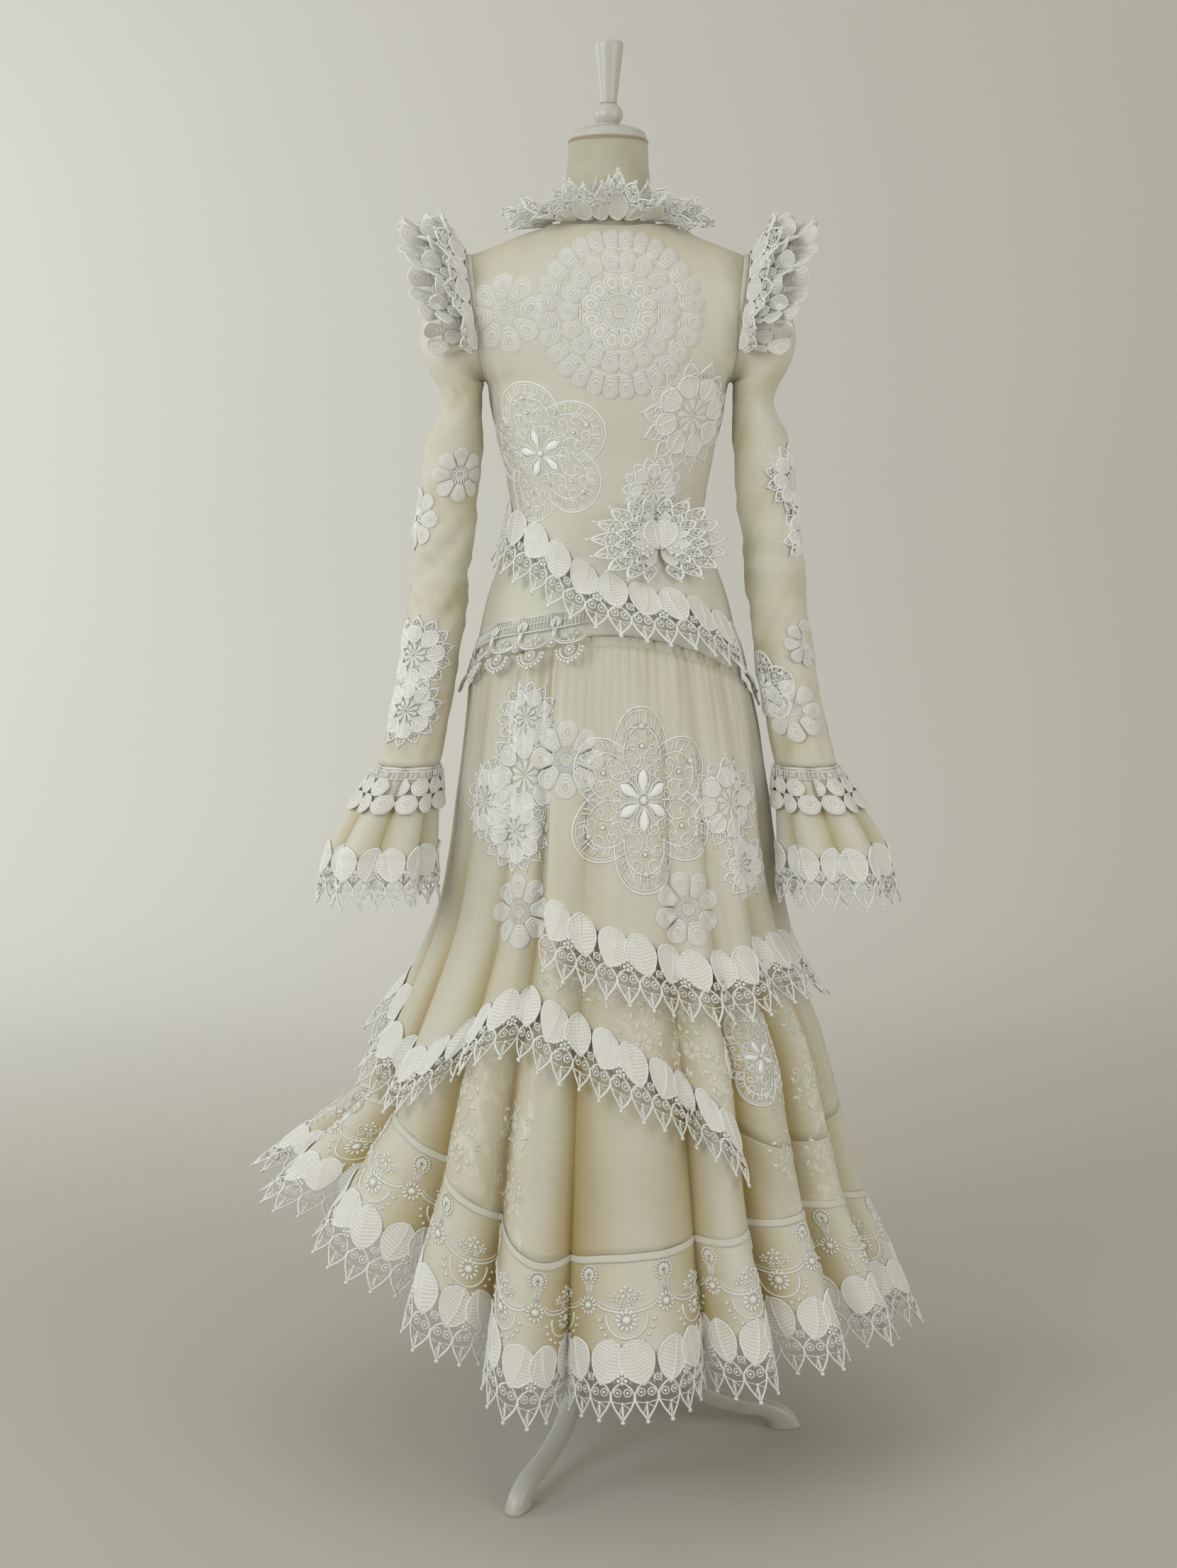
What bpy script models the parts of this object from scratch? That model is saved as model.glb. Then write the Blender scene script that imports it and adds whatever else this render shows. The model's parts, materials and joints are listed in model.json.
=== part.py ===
"""A long white lace dress, worn by a limbless dress form on a wooden tripod.

Metres, +Z up. The dress turns its back to -Y and its front to +Y, and +X is the wearer's right.
The form's pole stands on the vertical axis that every section is measured from. At the end all
pieces move so that the origin lies on the floor, midway along the part's width and depth.

The dress is built as it is sewn: a fitted bodice of two panels, two sleeves with flared cuffs, an
upper and a lower skirt, a shorter overskirt, a flared hem flounce, and strips of pointed leaf lace
that cover the seams. Cloth is a thin closed wall on each side of a middle surface.
"""

import math

import bmesh
import bpy
import numpy as np

# Walls and gaps
CLOTH = 0.0016
LACE = 0.0020
SEAM = 0.0005
CLEAR = 0.0006
APPLIQUE = 0.0016

# The body under the bodice, by height: half width, how deep the back and the front are.
BODY = {
    "height": (0.950, 1.000, 1.060, 1.120, 1.180, 1.240, 1.300, 1.350, 1.395, 1.435, 1.470),
    "wide":   (0.172, 0.172, 0.165, 0.152, 0.132, 0.1215, 0.131, 0.143, 0.150, 0.156, 0.161),
    "back":   (0.128, 0.127, 0.122, 0.112, 0.098, 0.090, 0.094, 0.102, 0.107, 0.107, 0.104),
    "front":  (0.118, 0.117, 0.112, 0.105, 0.096, 0.094, 0.112, 0.134, 0.142, 0.130, 0.110),
}
ARMPIT, ARM_LEVEL, ARM_DEPTH = 1.395, 1.470, 0.056
SHOULDER_TIP = (0.172, 1.545)
NECK_POINT = (0.064, 1.583)
NAPE = (0.056, 1.577)
THROAT = (0.052, 1.545)
NECK_SHARE = 0.5
BODICE_COLUMNS = 16
BODICE_EDGE = {"side": 1.012, "back_rise": 0.074, "front_rise": 0.050}

# The form under the dress
FORM_BOTTOM = 0.950
FORM_INSET = 0.0010
HIP_INSET = 0.016
YOKE_INSET = {"back": 0.0017, "front": 0.0055}
NECK_TOP = 1.683
NECK_RADIUS = 0.0485
POLE_RADIUS = 0.0125
HUB_RADIUS, HUB_BOTTOM, HUB_TOP, HUB_SIDES = 0.0285, 0.095, 0.200, 12
FINIAL_TOP = 1.800

# The skirt's outermost line at each height, and how deep its folds go in from there
SKIRT = {
    "height": (0.33, 0.40, 0.48, 0.56, 0.64, 0.72, 0.80, 0.89, 0.98, 1.04, 1.10),
    "left":   (0.375, 0.350, 0.325, 0.294, 0.254, 0.220, 0.203, 0.192, 0.181, 0.172, 0.159),
    "right":  (0.345, 0.327, 0.306, 0.284, 0.248, 0.224, 0.207, 0.197, 0.184, 0.173, 0.159),
    "back":   (0.300, 0.278, 0.262, 0.240, 0.214, 0.192, 0.174, 0.154, 0.138, 0.129, 0.119),
    "front":  (0.285, 0.264, 0.244, 0.222, 0.198, 0.178, 0.162, 0.144, 0.129, 0.119, 0.109),
    "fold":   (0.034, 0.029, 0.024, 0.018, 0.013, 0.010, 0.008, 0.007, 0.005, 0.004, 0.002),
}
# Directions, in degrees round from the back towards +X, where the hem's folds turn inwards
VALLEYS = (-164, -144, -124, -104, -83, -63, -40, -24, -8, 20.5, 34.5, 53, 70, 90, 110, 130, 152, 174)
COLUMNS_A_FOLD = 5
FOLD_POWER = 2.4
GATHER = 0.0016

# Heights of the seams round the skirt, by direction
ROUND = (-180, -135, -90, -52, -30, -11, 0, 20, 40, 60, 90, 135)
SKIRT_SEAM = (0.560, 0.620, 0.600, 0.560, 0.640, 0.622, 0.598, 0.545, 0.470, 0.455, 0.480, 0.520)
HEM_SEAM = (0.400, 0.440, 0.484, 0.477, 0.410, 0.345, 0.358, 0.364, 0.376, 0.374, 0.345, 0.375)

# The hem flounce: lengths down the cloth, and how far its side leans out
FLOUNCE_LONG = 0.098
HEM_LACE_LONG = 0.090
LEAN = {"place": (-180, -135, -90, -60, -30, 0, 30, 60, 90, 135),
        "degrees": (26, 34, 52, 42, 27, 25, 24, 24, 25, 25)}
HEM_FOLD_ADDED = 0.030

# The overskirt on the right of the back
OVER_FROM, OVER_TO = -20.5, 104.0
OVER_COLUMNS = 30
OVER_EDGE = {"place": (-21, -5, 11, 23, 37, 52, 80, 105),
             "height": (0.767, 0.737, 0.718, 0.699, 0.692, 0.700, 0.690, 0.660)}
OVER_LIFT = {"top": 0.0044, "bottom": 0.0088}

# Strips of lace laid along an edge: where they start and stop, the heights of their top edge,
# how long they hang, how far their points lean out, and their waves and pattern repeats
STRIPS = {
    "hip_lace": {
        "place": (-96, -72, -54, -34, -15, 2, 20, 37, 53, 75, 98),
        "height": (1.236, 1.226, 1.215, 1.196, 1.166, 1.147, 1.134, 1.126, 1.107, 1.082, 1.040),
        "long": 0.060, "lean": 0.022, "side_lean": 0.25,
        "seat": 0.0040, "lift": 0.0041, "wave": 0.007, "repeats": 13},
    "hip_scallop_lace": {
        "place": (-98, -75, -58, -37, -21),
        "height": (1.050, 1.070, 1.086, 1.096, 1.098),
        "long": 0.052, "lean": 0.012, "side_lean": 0.40,
        "seat": 0.0024, "lift": 0.0040, "wave": 0.004, "repeats": 7},
    "overskirt_lace": {
        "place": (-20.5, -5, 11, 23, 37, 52, 80, 103.5),
        "height": (0.766, 0.736, 0.717, 0.698, 0.691, 0.699, 0.689, 0.660),
        "long": 0.070, "lean": 0.016, "side_lean": 1.0,
        "seat": 0.0034, "lift": 0.0042, "wave": 0.006, "repeats": 12},
    "skirt_lace": {
        "place": (-105, -90, -70, -52, -38, -30, -22, -12, 5, 22, 32),
        "height": (0.655, 0.620, 0.575, 0.566, 0.619, 0.646, 0.652, 0.630, 0.595, 0.541, 0.492),
        "long": 0.068, "lean": 0.016, "side_lean": 1.0,
        "seat": 0.0040, "lift": 0.0048, "wave": 0.006, "repeats": 16},
}

# Sleeve sections: the first turn round the armpit, the others hang level
ARMPIT_PIVOT = (0.151, 1.388)
SLEEVE_TURNS = {"turn": (32, 60, 90), "near": (0.007, 0.007, 0.005),
                "far": (0.128, 0.094, 0.060), "deep": (0.0545, 0.052, 0.048)}
SLEEVE_LEVELS = {
    "height": (1.320, 1.180, 1.070, 0.990, 0.920),
    "out":    (0.192, 0.208, 0.221, 0.235, 0.250),
    "near_y": (0.000, -0.008, -0.020, -0.034, -0.046),
    "wide":   (0.0345, 0.036, 0.036, 0.036, 0.038),
    "deep":   (0.045, 0.043, 0.042, 0.041, 0.041)}
SLEEVE_SIDES = 12

# Cuff sections, each a flared and folded ring
CUFF = {
    "height": (0.9194, 0.870, 0.812, 0.782, 0.750),
    "out":    (0.250, 0.266, 0.284, 0.288, 0.291),
    "near_y": (-0.046, -0.056, -0.067, -0.071, -0.075),
    "wide":   (0.038, 0.053, 0.070, 0.075, 0.078),
    "deep":   (0.041, 0.054, 0.068, 0.073, 0.077),
    "fold":   (0.002, 0.010, 0.018, 0.020, 0.022)}
CUFF_FOLDS = 6
CUFF_COLUMNS_A_FOLD = 4
CUFF_CLOTH_END = 0.812
FRILL_LONG = 0.054
FRILL_LEAN = 0.10

# Ruffles round the top of each armhole, and round the neck
ARM_RUFFLES = {
    "petal_ruffle": {"out": 0.88, "round": 0.46, "start": 0.0022, "long": 0.092, "taper": 0.34,
                     "wave": 0.009, "waves": 7, "repeats": 12},
    "leaf_ruffle": {"out": 0.52, "round": 0.86, "start": 0.0054, "long": 0.062, "taper": 0.60,
                    "wave": 0.007, "waves": 7, "repeats": 10},
}
RUFFLE_SPAN = 118.0
COLLAR = {"place": (-180, -120, -90, -60, -25, 0, 25, 60, 90, 120),
          "rise": (0.35, 0.16, 0.02, -0.10, 0.40, 0.70, 0.40, -0.10, 0.02, 0.16),
          "long": 0.064, "wave": 0.015, "waves": 11, "repeats": 20}

# Thick lace motifs on the cloth, each by its place and half size
BODICE_MOTIFS = {
    "across": (-0.125, 0.013, -0.082, 0.101),
    "height": (1.472, 1.472, 1.311, 1.346),
    "half":   (0.042, 0.090, 0.066, 0.052)}
SKIRT_MOTIFS = {
    "across": (-0.104, -0.058, 0.040, 0.142, -0.106),
    "height": (0.919, 0.938, 0.903, 0.882, 0.752),
    "half":   (0.055, 0.030, 0.085, 0.055, 0.038)}
BUTTERFLY = {"turn": 27.0, "height": 1.205, "half_wide": 0.030, "long": 0.088, "slope": 0.55}

# The tripod leg in its own upright plane, from the hub out to the foot
LEG = {
    "reach":  (0.0, 0.046, 0.070, 0.098, 0.128, 0.160, 0.190, 0.216, 0.236, 0.243),
    "height": (0.150, 0.143, 0.114, 0.079, 0.053, 0.038, 0.031, 0.026, 0.014, 0.000),
    "turn":   (0, 30, 50, 47, 34, 20, 10, 24, 62, 90),
    "thick":  (0.042, 0.038, 0.031, 0.028, 0.027, 0.026, 0.025, 0.025, 0.034, 0.044),
    "wide":   (0.024, 0.024, 0.024, 0.024, 0.024, 0.023, 0.023, 0.024, 0.026, 0.027)}
LEG_DIRECTIONS = (-27.5, 92.5, 212.5)
LEG_SIDES = 8
ROUND_SIDES = 16

COLOURS = {
    "cream_voile": ((0.80, 0.75, 0.60), 0.80),
    "white_guipure_lace": ((0.88, 0.87, 0.82), 0.85),
    "form_cloth": ((0.76, 0.72, 0.60), 0.90),
    "painted_wood": ((0.84, 0.82, 0.75), 0.45),
}


def clear_scene():
    for thing in list(bpy.data.objects):
        bpy.data.objects.remove(thing, do_unlink=True)


def material_named(name):
    found = bpy.data.materials.get(name)
    if found:
        return found
    colour, roughness = COLOURS[name]
    made = bpy.data.materials.new(name)
    made.use_nodes = True
    surface = made.node_tree.nodes["Principled BSDF"]
    surface.inputs["Base Color"].default_value = (*colour, 1.0)
    surface.inputs["Roughness"].default_value = roughness
    surface.inputs["Metallic"].default_value = 0.0
    return made


def smooth(places, values, where):
    """The table's value at each asked place, along cubics that pass through its rows."""
    places = np.asarray(places, float)
    values = np.asarray(values, float)
    slopes = np.gradient(values, places)
    where = np.clip(np.asarray(where, float), places[0], places[-1])
    row = np.clip(np.searchsorted(places, where, side="right") - 1, 0, len(places) - 2)
    step = places[row + 1] - places[row]
    t = (where - places[row]) / step
    start = (1 + 2 * t) * (1 - t) ** 2 * values[row] + t * (1 - t) ** 2 * step * slopes[row]
    end = t * t * (3 - 2 * t) * values[row + 1] + t * t * (t - 1) * step * slopes[row + 1]
    return start + end


def smooth_round(places, values, turn):
    """The same for a table that closes on itself after a whole turn in degrees."""
    places = np.asarray(places, float)
    longer = np.concatenate([places - 360, places, places + 360])
    return smooth(longer, np.tile(values, 3), (np.asarray(turn) + 180) % 360 - 180)


def mesh_object(name, points, faces, material):
    mesh = bpy.data.meshes.new(name)
    mesh.from_pydata([tuple(map(float, point)) for point in points], [], faces)
    made = bmesh.new()
    made.from_mesh(mesh)
    bmesh.ops.remove_doubles(made, verts=made.verts, dist=0.00002)
    bmesh.ops.recalc_face_normals(made, faces=made.faces)
    made.to_mesh(mesh)
    made.free()
    mesh.materials.append(material_named(material))
    thing = bpy.data.objects.new(name, mesh)
    bpy.context.scene.collection.objects.link(thing)
    return thing


def outward(grid, closed):
    """Each grid point's unit normal, from the cross product of the two directions through it."""
    if closed:
        across = np.roll(grid, -1, axis=1) - np.roll(grid, 1, axis=1)
    else:
        across = np.gradient(grid, axis=1)
    down = np.gradient(grid, axis=0)
    normal = np.cross(down, across)
    return normal / np.linalg.norm(normal, axis=2, keepdims=True)


def wall(name, grid, thick, material, closed=False, cut=None, raised=None, side=0):
    """A closed wall on both sides of a grid of points, rows from the top down and columns
    towards +X across the back. Cut cells are left out, and each open edge gets a rim. With a
    side of -1 or 1 it stays behind or in front of the seam line over the pole."""
    rows, columns = grid.shape[:2]
    normal = outward(grid, closed)
    lift = 0.0 if raised is None else raised[..., None]
    outer = grid + normal * (thick / 2 + lift)
    inner = grid - normal * thick / 2
    points = np.concatenate([outer.reshape(-1, 3), inner.reshape(-1, 3)])
    if side:
        points[:, 1] = side * np.maximum(side * points[:, 1], SEAM / 2)
    inside = rows * columns
    cells = columns if closed else columns - 1
    kept = np.ones((rows - 1, cells), bool) if cut is None else ~cut
    faces = []
    edges = {}
    for row in range(rows - 1):
        for column in range(cells):
            if not kept[row, column]:
                continue
            after = (column + 1) % columns
            corners = (row * columns + column, (row + 1) * columns + column,
                       (row + 1) * columns + after, row * columns + after)
            faces.append(corners)
            faces.append(tuple(inside + corner for corner in reversed(corners)))
            for first, second in zip(corners, corners[1:] + corners[:1]):
                edges[(first, second)] = True
    for first, second in edges:
        if (second, first) not in edges:
            faces.append((second, first, inside + first, inside + second))
    used = sorted({corner for face in faces for corner in face})
    place = {corner: index for index, corner in enumerate(used)}
    return mesh_object(name, points[used], [tuple(place[c] for c in face) for face in faces], material)


def rings_solid(name, rings, material):
    """A solid through closed rings of points, with a flat face over the first and the last."""
    count = len(rings[0])
    faces = [tuple(range(count)), tuple(reversed(range((len(rings) - 1) * count, len(rings) * count)))]
    for row in range(len(rings) - 1):
        for side in range(count):
            after = (side + 1) % count
            faces.append((row * count + side, row * count + after,
                          (row + 1) * count + after, (row + 1) * count + side))
    return mesh_object(name, np.concatenate(rings), faces, material)


def turned(name, profile, material, sides=ROUND_SIDES, first=0.0):
    """A turned solid from pairs of radius and height, its first corner at an angle in degrees."""
    angles = math.radians(first) + np.arange(sides) * math.tau / sides
    rings = [np.stack([radius * np.cos(angles), radius * np.sin(angles), np.full(sides, height)], axis=1)
             for radius, height in profile]
    return rings_solid(name, rings, material)


def body_point(side, across, height):
    """A point of the body: across runs from -1 at the left side to 1 at the right, side is -1
    for the back and 1 for the front. Above the armpit the edges draw back round the armhole."""
    wide = smooth(BODY["height"], BODY["wide"], height)
    deep = smooth(BODY["height"], BODY["back" if side < 0 else "front"], height)
    above = np.clip((ARM_LEVEL - height) / (ARM_LEVEL - ARMPIT), 0, 1)
    edge = np.where(height > ARMPIT, ARM_DEPTH * np.sqrt(1 - above**2), 0.0)
    turn = across * math.pi / 2
    return np.stack([wide * np.sin(turn), side * (edge + (deep - edge) * np.cos(turn)),
                     height + 0 * across], axis=-1)


def shoulder_point(side, across):
    """The line over the shoulders and round the neck, where the two panels meet."""
    beyond = np.clip((abs(across) - NECK_SHARE) / (1 - NECK_SHARE), 0, 1)
    round_neck = np.clip(abs(across) / NECK_SHARE, 0, 1) * math.pi / 2
    neck_deep, neck_height = NAPE if side < 0 else THROAT
    x = np.where(abs(across) < NECK_SHARE, NECK_POINT[0] * np.sin(round_neck),
                 NECK_POINT[0] + beyond * (SHOULDER_TIP[0] - NECK_POINT[0]))
    z = np.where(abs(across) < NECK_SHARE,
                 NECK_POINT[1] + (neck_height - NECK_POINT[1]) * np.cos(round_neck) ** 2,
                 NECK_POINT[1] + beyond * (SHOULDER_TIP[1] - NECK_POINT[1]))
    return np.stack([np.sign(across) * x, side * neck_deep * np.cos(round_neck), z], axis=-1)


def panel_grid(side, across, levels):
    """Rows of body points from the bottom up to the arm's level, then over to the shoulder."""
    rows = [body_point(side, across, level) for level in levels]
    last = rows[-1]
    seam = shoulder_point(side, across)
    for turn in (math.radians(30), math.radians(60), math.pi / 2):
        over = last + (seam - last) * (1 - math.cos(turn))
        over[:, 2] = last[:, 2] + (seam[:, 2] - last[:, 2]) * math.sin(turn)
        rows.append(over)
    return np.array(rows)


def bodice_edge(turn, side):
    """Height of the bodice's lower edge, which arches over the hips."""
    rise = np.where(side < 0, BODICE_EDGE["back_rise"], BODICE_EDGE["front_rise"])
    return BODICE_EDGE["side"] + rise * np.abs(np.cos(turn)) ** 1.3


def lifted_over(places, grid):
    """How far the outer face stands out over the thick lace motifs of one table."""
    lift = np.zeros(grid.shape[:2])
    for across, height, half in zip(places["across"], places["height"], places["half"]):
        near = np.hypot(grid[..., 0] - across, grid[..., 2] - height) < half
        lift[near & (grid[..., 1] < 0)] = APPLIQUE
    return lift


def build_bodice():
    across = np.linspace(-1, 1, BODICE_COLUMNS + 1)
    for side, name in ((-1, "bodice_back"), (1, "bodice_front")):
        edge = bodice_edge(across * math.pi / 2, side)
        waist = 1.240
        levels = [edge + (waist - edge) * share for share in (0, 0.34, 0.67)]
        levels += [np.full(len(across), height)
                   for height in (waist, 1.300, 1.350, ARMPIT, 1.412, 1.435, ARM_LEVEL)]
        grid = panel_grid(side, across, levels)
        grid[..., 1] += side * SEAM / 2
        grid = grid[::-1] if side < 0 else grid[::-1, ::-1]
        raised = lifted_over(BODICE_MOTIFS, grid) if side < 0 else None
        wall(name, grid, CLOTH, "cream_voile", raised=raised, side=side)


def form_inset(height):
    """How far the form lies inside the cloth: close down to the waist, more at the hips."""
    below = np.clip((1.200 - height) / 0.170, 0, 1)
    return CLOTH / 2 + FORM_INSET + HIP_INSET * below * below * (3 - 2 * below)


def build_form():
    across = np.linspace(-1, 1, BODICE_COLUMNS // 2 + 1)
    heights = (FORM_BOTTOM, 1.000, 1.060, 1.120, 1.180, 1.240, 1.300, 1.350, ARMPIT, 1.412, 1.435, ARM_LEVEL)
    levels = [np.full(len(across), height) for height in heights]
    halves = []
    for side in (-1, 1):
        grid = panel_grid(side, across, levels)
        inset = form_inset(grid[..., 2])[..., None]
        normal = outward(grid[::-1] if side < 0 else grid[::-1, ::-1], False)
        normal = normal[::-1] if side < 0 else normal[::-1, ::-1]
        inset[len(levels):] += YOKE_INSET["back" if side < 0 else "front"]
        shrunk = grid - normal * inset
        shrunk[: len(levels), :, 2] = grid[: len(levels), :, 2]
        shrunk[:, :, 1] = side * np.maximum(side * shrunk[:, :, 1], 0.0)
        shrunk[:, 0, 0] = np.maximum(shrunk[:, 0, 0], grid[:, 0, 0] + inset[:, 0, 0])
        shrunk[:, -1, 0] = np.minimum(shrunk[:, -1, 0], grid[:, -1, 0] - inset[:, -1, 0])
        halves.append(shrunk)
    back, front = halves
    sunk = CLOTH / 2 + FORM_INSET + YOKE_INSET["back"]
    back[-1] = shoulder_point(-1, across * (1 - 0.02)) - np.array([0.0, 0.0, sunk])
    over = np.abs(across) >= NECK_SHARE
    front[-1, over] = back[-1, over]
    rings = [np.concatenate([back[row], front[row, ::-1]]) for row in range(len(back))]
    # The neck rises from the middle columns of the last row.
    inside = np.abs(across) <= NECK_SHARE
    count = len(across)
    neck = np.concatenate([np.flatnonzero(inside), count + np.flatnonzero(inside[::-1])])
    start = rings[-1][neck]
    turn = np.arctan2(start[:, 0], -start[:, 1])
    points = list(np.concatenate(rings))
    faces = [tuple(range(2 * count))[::-1]]
    for row in range(len(rings) - 1):
        for place in range(2 * count):
            after = (place + 1) % (2 * count)
            faces.append((row * 2 * count + place, row * 2 * count + after,
                          (row + 1) * 2 * count + after, (row + 1) * 2 * count + place))
    below = [(len(rings) - 1) * 2 * count + place for place in neck]
    for share, radius in ((0.30, 0.0545), (0.62, 0.0505), (1.0, NECK_RADIUS)):
        height = NECK_POINT[1] + share * (NECK_TOP - NECK_POINT[1])
        above = range(len(points), len(points) + len(neck))
        points += [(radius * math.sin(t), -radius * math.cos(t), height) for t in turn]
        for place in range(len(neck)):
            after = (place + 1) % len(neck)
            faces.append((below[place], below[after], above[after], above[place]))
        below = list(above)
    faces.append(tuple(below))
    mesh_object("form_torso", points, faces, "form_cloth")


def build_stand():
    top = NECK_TOP + 0.0003
    turned("neck_cap", [(0.046, top), (0.0475, top + 0.004), (0.045, top + 0.010), (0.026, top + 0.017)],
           "painted_wood")
    base = top + 0.0173
    ball = [(0.018 * math.sin(t), base + 0.014 - 0.0155 * math.cos(t))
            for t in np.radians((40, 65, 90, 120, 145))]
    turned("finial_ball", [(0.0150, base)] + ball[1:], "painted_wood")
    foot = ball[-1][1] + 0.0003
    turned("finial", [(0.0105, foot), (0.0118, foot + 0.008), (0.0145, foot + 0.030),
                      (0.0180, FINIAL_TOP - 0.012), (0.0185, FINIAL_TOP - 0.002), (0.0170, FINIAL_TOP)],
           "painted_wood")
    turned("pole", [(POLE_RADIUS, HUB_TOP + 0.0003), (POLE_RADIUS, FORM_BOTTOM - 0.0003)], "painted_wood")
    # A flat side of the hub faces each leg.
    flat_first = LEG_DIRECTIONS[0] - 90 + 180 / HUB_SIDES
    turned("tripod_hub", [(0.010, HUB_BOTTOM), (0.022, HUB_BOTTOM + 0.008), (HUB_RADIUS, HUB_BOTTOM + 0.024),
                          (HUB_RADIUS, HUB_TOP - 0.020), (0.022, HUB_TOP - 0.008), (0.018, HUB_TOP)],
           "painted_wood", HUB_SIDES, flat_first)
    for number, direction in enumerate(LEG_DIRECTIONS, 1):
        build_leg(f"tripod_leg_{number}", math.radians(direction))


def build_leg(name, direction):
    """One leg: rounded sections along a double curve, the last one level on the floor."""
    rings = []
    angles = (np.arange(LEG_SIDES) + 0.5) * math.tau / LEG_SIDES
    outwards = np.array([math.sin(direction), -math.cos(direction), 0.0])
    sideways = np.array([math.cos(direction), math.sin(direction), 0.0])
    for reach, height, turn, thick, wide in zip(*LEG.values()):
        turn = math.radians(turn)
        across = outwards * math.sin(turn) + np.array([0.0, 0.0, math.cos(turn)])
        seat = HUB_RADIUS * math.cos(math.pi / HUB_SIDES) + 0.0004
        centre = outwards * max(reach, seat)
        centre = centre + np.array([0.0, 0.0, height])
        rings.append(centre + across * (thick / 2) * np.cos(angles)[:, None] / math.cos(math.pi / LEG_SIDES)
                     + sideways * (wide / 2) * np.sin(angles)[:, None] / math.cos(math.pi / LEG_SIDES))
    rings_solid(name, rings, "painted_wood")


def fold_share(turn):
    """0 on a fold's ridge and 1 in the valley on either side of it."""
    edges = np.array(VALLEYS + (VALLEYS[0] + 360,), float)
    turn = (np.asarray(turn, float) - edges[0]) % 360 + edges[0]
    lobe = np.clip(np.searchsorted(edges, turn, side="right") - 1, 0, len(VALLEYS) - 1)
    t = (turn - edges[lobe]) / (edges[lobe + 1] - edges[lobe])
    return np.abs(2 * t - 1) ** FOLD_POWER


def ring_turns():
    """The directions of the skirt's columns, evenly spread inside each fold."""
    edges = np.array(VALLEYS + (VALLEYS[0] + 360,), float)
    shares = np.arange(COLUMNS_A_FOLD) / COLUMNS_A_FOLD
    return np.concatenate([a + shares * (b - a) for a, b in zip(edges, edges[1:])])


def skirt_point(turn, height, added=0.0):
    """A point of the skirt: its outermost line at that height, drawn in along the folds."""
    angle = np.radians(turn)
    sides = {name: smooth(SKIRT["height"], SKIRT[name], height) for name in SKIRT if name != "height"}
    wide = np.where(np.sin(angle) < 0, sides["left"], sides["right"])
    deep = np.where(np.cos(angle) > 0, sides["back"], sides["front"])
    inwards = sides["fold"] * fold_share(turn) - added
    return np.stack([(wide - inwards) * np.sin(angle), -(deep - inwards) * np.cos(angle),
                     height + 0 * angle], axis=-1)


def flounce_point(turn, down):
    """A point of the hem flounce, which leans out from the hem seam and folds deeper."""
    seam = smooth_round(ROUND, HEM_SEAM, turn)
    lean = np.radians(smooth_round(LEAN["place"], LEAN["degrees"], turn))
    share = down / (FLOUNCE_LONG + HEM_LACE_LONG)
    start = skirt_point(turn, seam)
    out = down * np.sin(lean) - HEM_FOLD_ADDED * share * fold_share(turn)
    angle = np.radians(turn)
    return start + np.stack([out * np.sin(angle), -out * np.cos(angle), -down * np.cos(lean)], axis=-1)


def build_skirt():
    turns = ring_turns()
    angle = np.radians(turns)
    side = np.where(np.cos(angle) > 0, -1, 1)
    top = bodice_edge(angle, side) - SEAM - 0.0006
    seam = smooth_round(ROUND, SKIRT_SEAM, turns)
    hem = smooth_round(ROUND, HEM_SEAM, turns)
    gathered = np.where(np.arange(len(turns)) % 2 == 0, GATHER, -GATHER)
    rows = []
    for share in (0.0, 0.10, 0.36, 0.72, 0.87, 1.0):
        height = top + (seam + SEAM / 2 - top) * share
        row = skirt_point(turns, height, gathered * max(0.0, 1 - 3 * share))
        rows.append(row)
    grid = np.array(rows)
    wall("skirt_upper", grid, CLOTH, "cream_voile", closed=True, raised=lifted_over(SKIRT_MOTIFS, grid))
    rows = []
    for share in (0.0, 0.5, 1.0):
        height = seam - SEAM / 2 + (hem + SEAM / 2 - seam + SEAM / 2) * share
        rows.append(skirt_point(turns, height))
    wall("skirt_lower", np.array(rows), CLOTH, "cream_voile", closed=True)
    grid = np.array([flounce_point(turns, np.full(len(turns), down))
                     for down in (SEAM, FLOUNCE_LONG * 0.5, FLOUNCE_LONG)])
    wall("hem_flounce", grid, CLOTH, "cream_voile", closed=True)
    half = len(turns) // 2
    # The hem lace is cut through, so it is two halves that meet on a ridge at each side.
    start = 4 * COLUMNS_A_FOLD + 2
    for name, first in (("hem_lace_back", start), ("hem_lace_front", start + half)):
        picked = turns[(first + np.arange(half + 1)) % len(turns)].copy()
        picked[0] += 0.10
        picked[-1] -= 0.10
        grid = lace_rows(lambda down, picked=picked: flounce_point(picked, FLOUNCE_LONG + 1.8 * SEAM + down),
                         len(picked), HEM_LACE_LONG)
        wall(name, grid, LACE, "white_guipure_lace", cut=lace_holes(grid))


def lace_rows(surface, columns, long):
    """Four rows down a strip of lace: the leaves, the open band and the points below it."""
    short = np.where(np.arange(columns) % 2 == 0, 0.78, 1.0)
    downs = (0.0, 0.46 * long, 0.70 * long, long * short)
    return np.array([surface(np.full(columns, 1.0) * down) for down in downs])


def lace_holes(grid):
    """Every other cell of the middle row is open, never at the strip's ends."""
    cut = np.zeros((grid.shape[0] - 1, grid.shape[1] - 1), bool)
    cut[1, 1:-1:2] = True
    return cut


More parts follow.
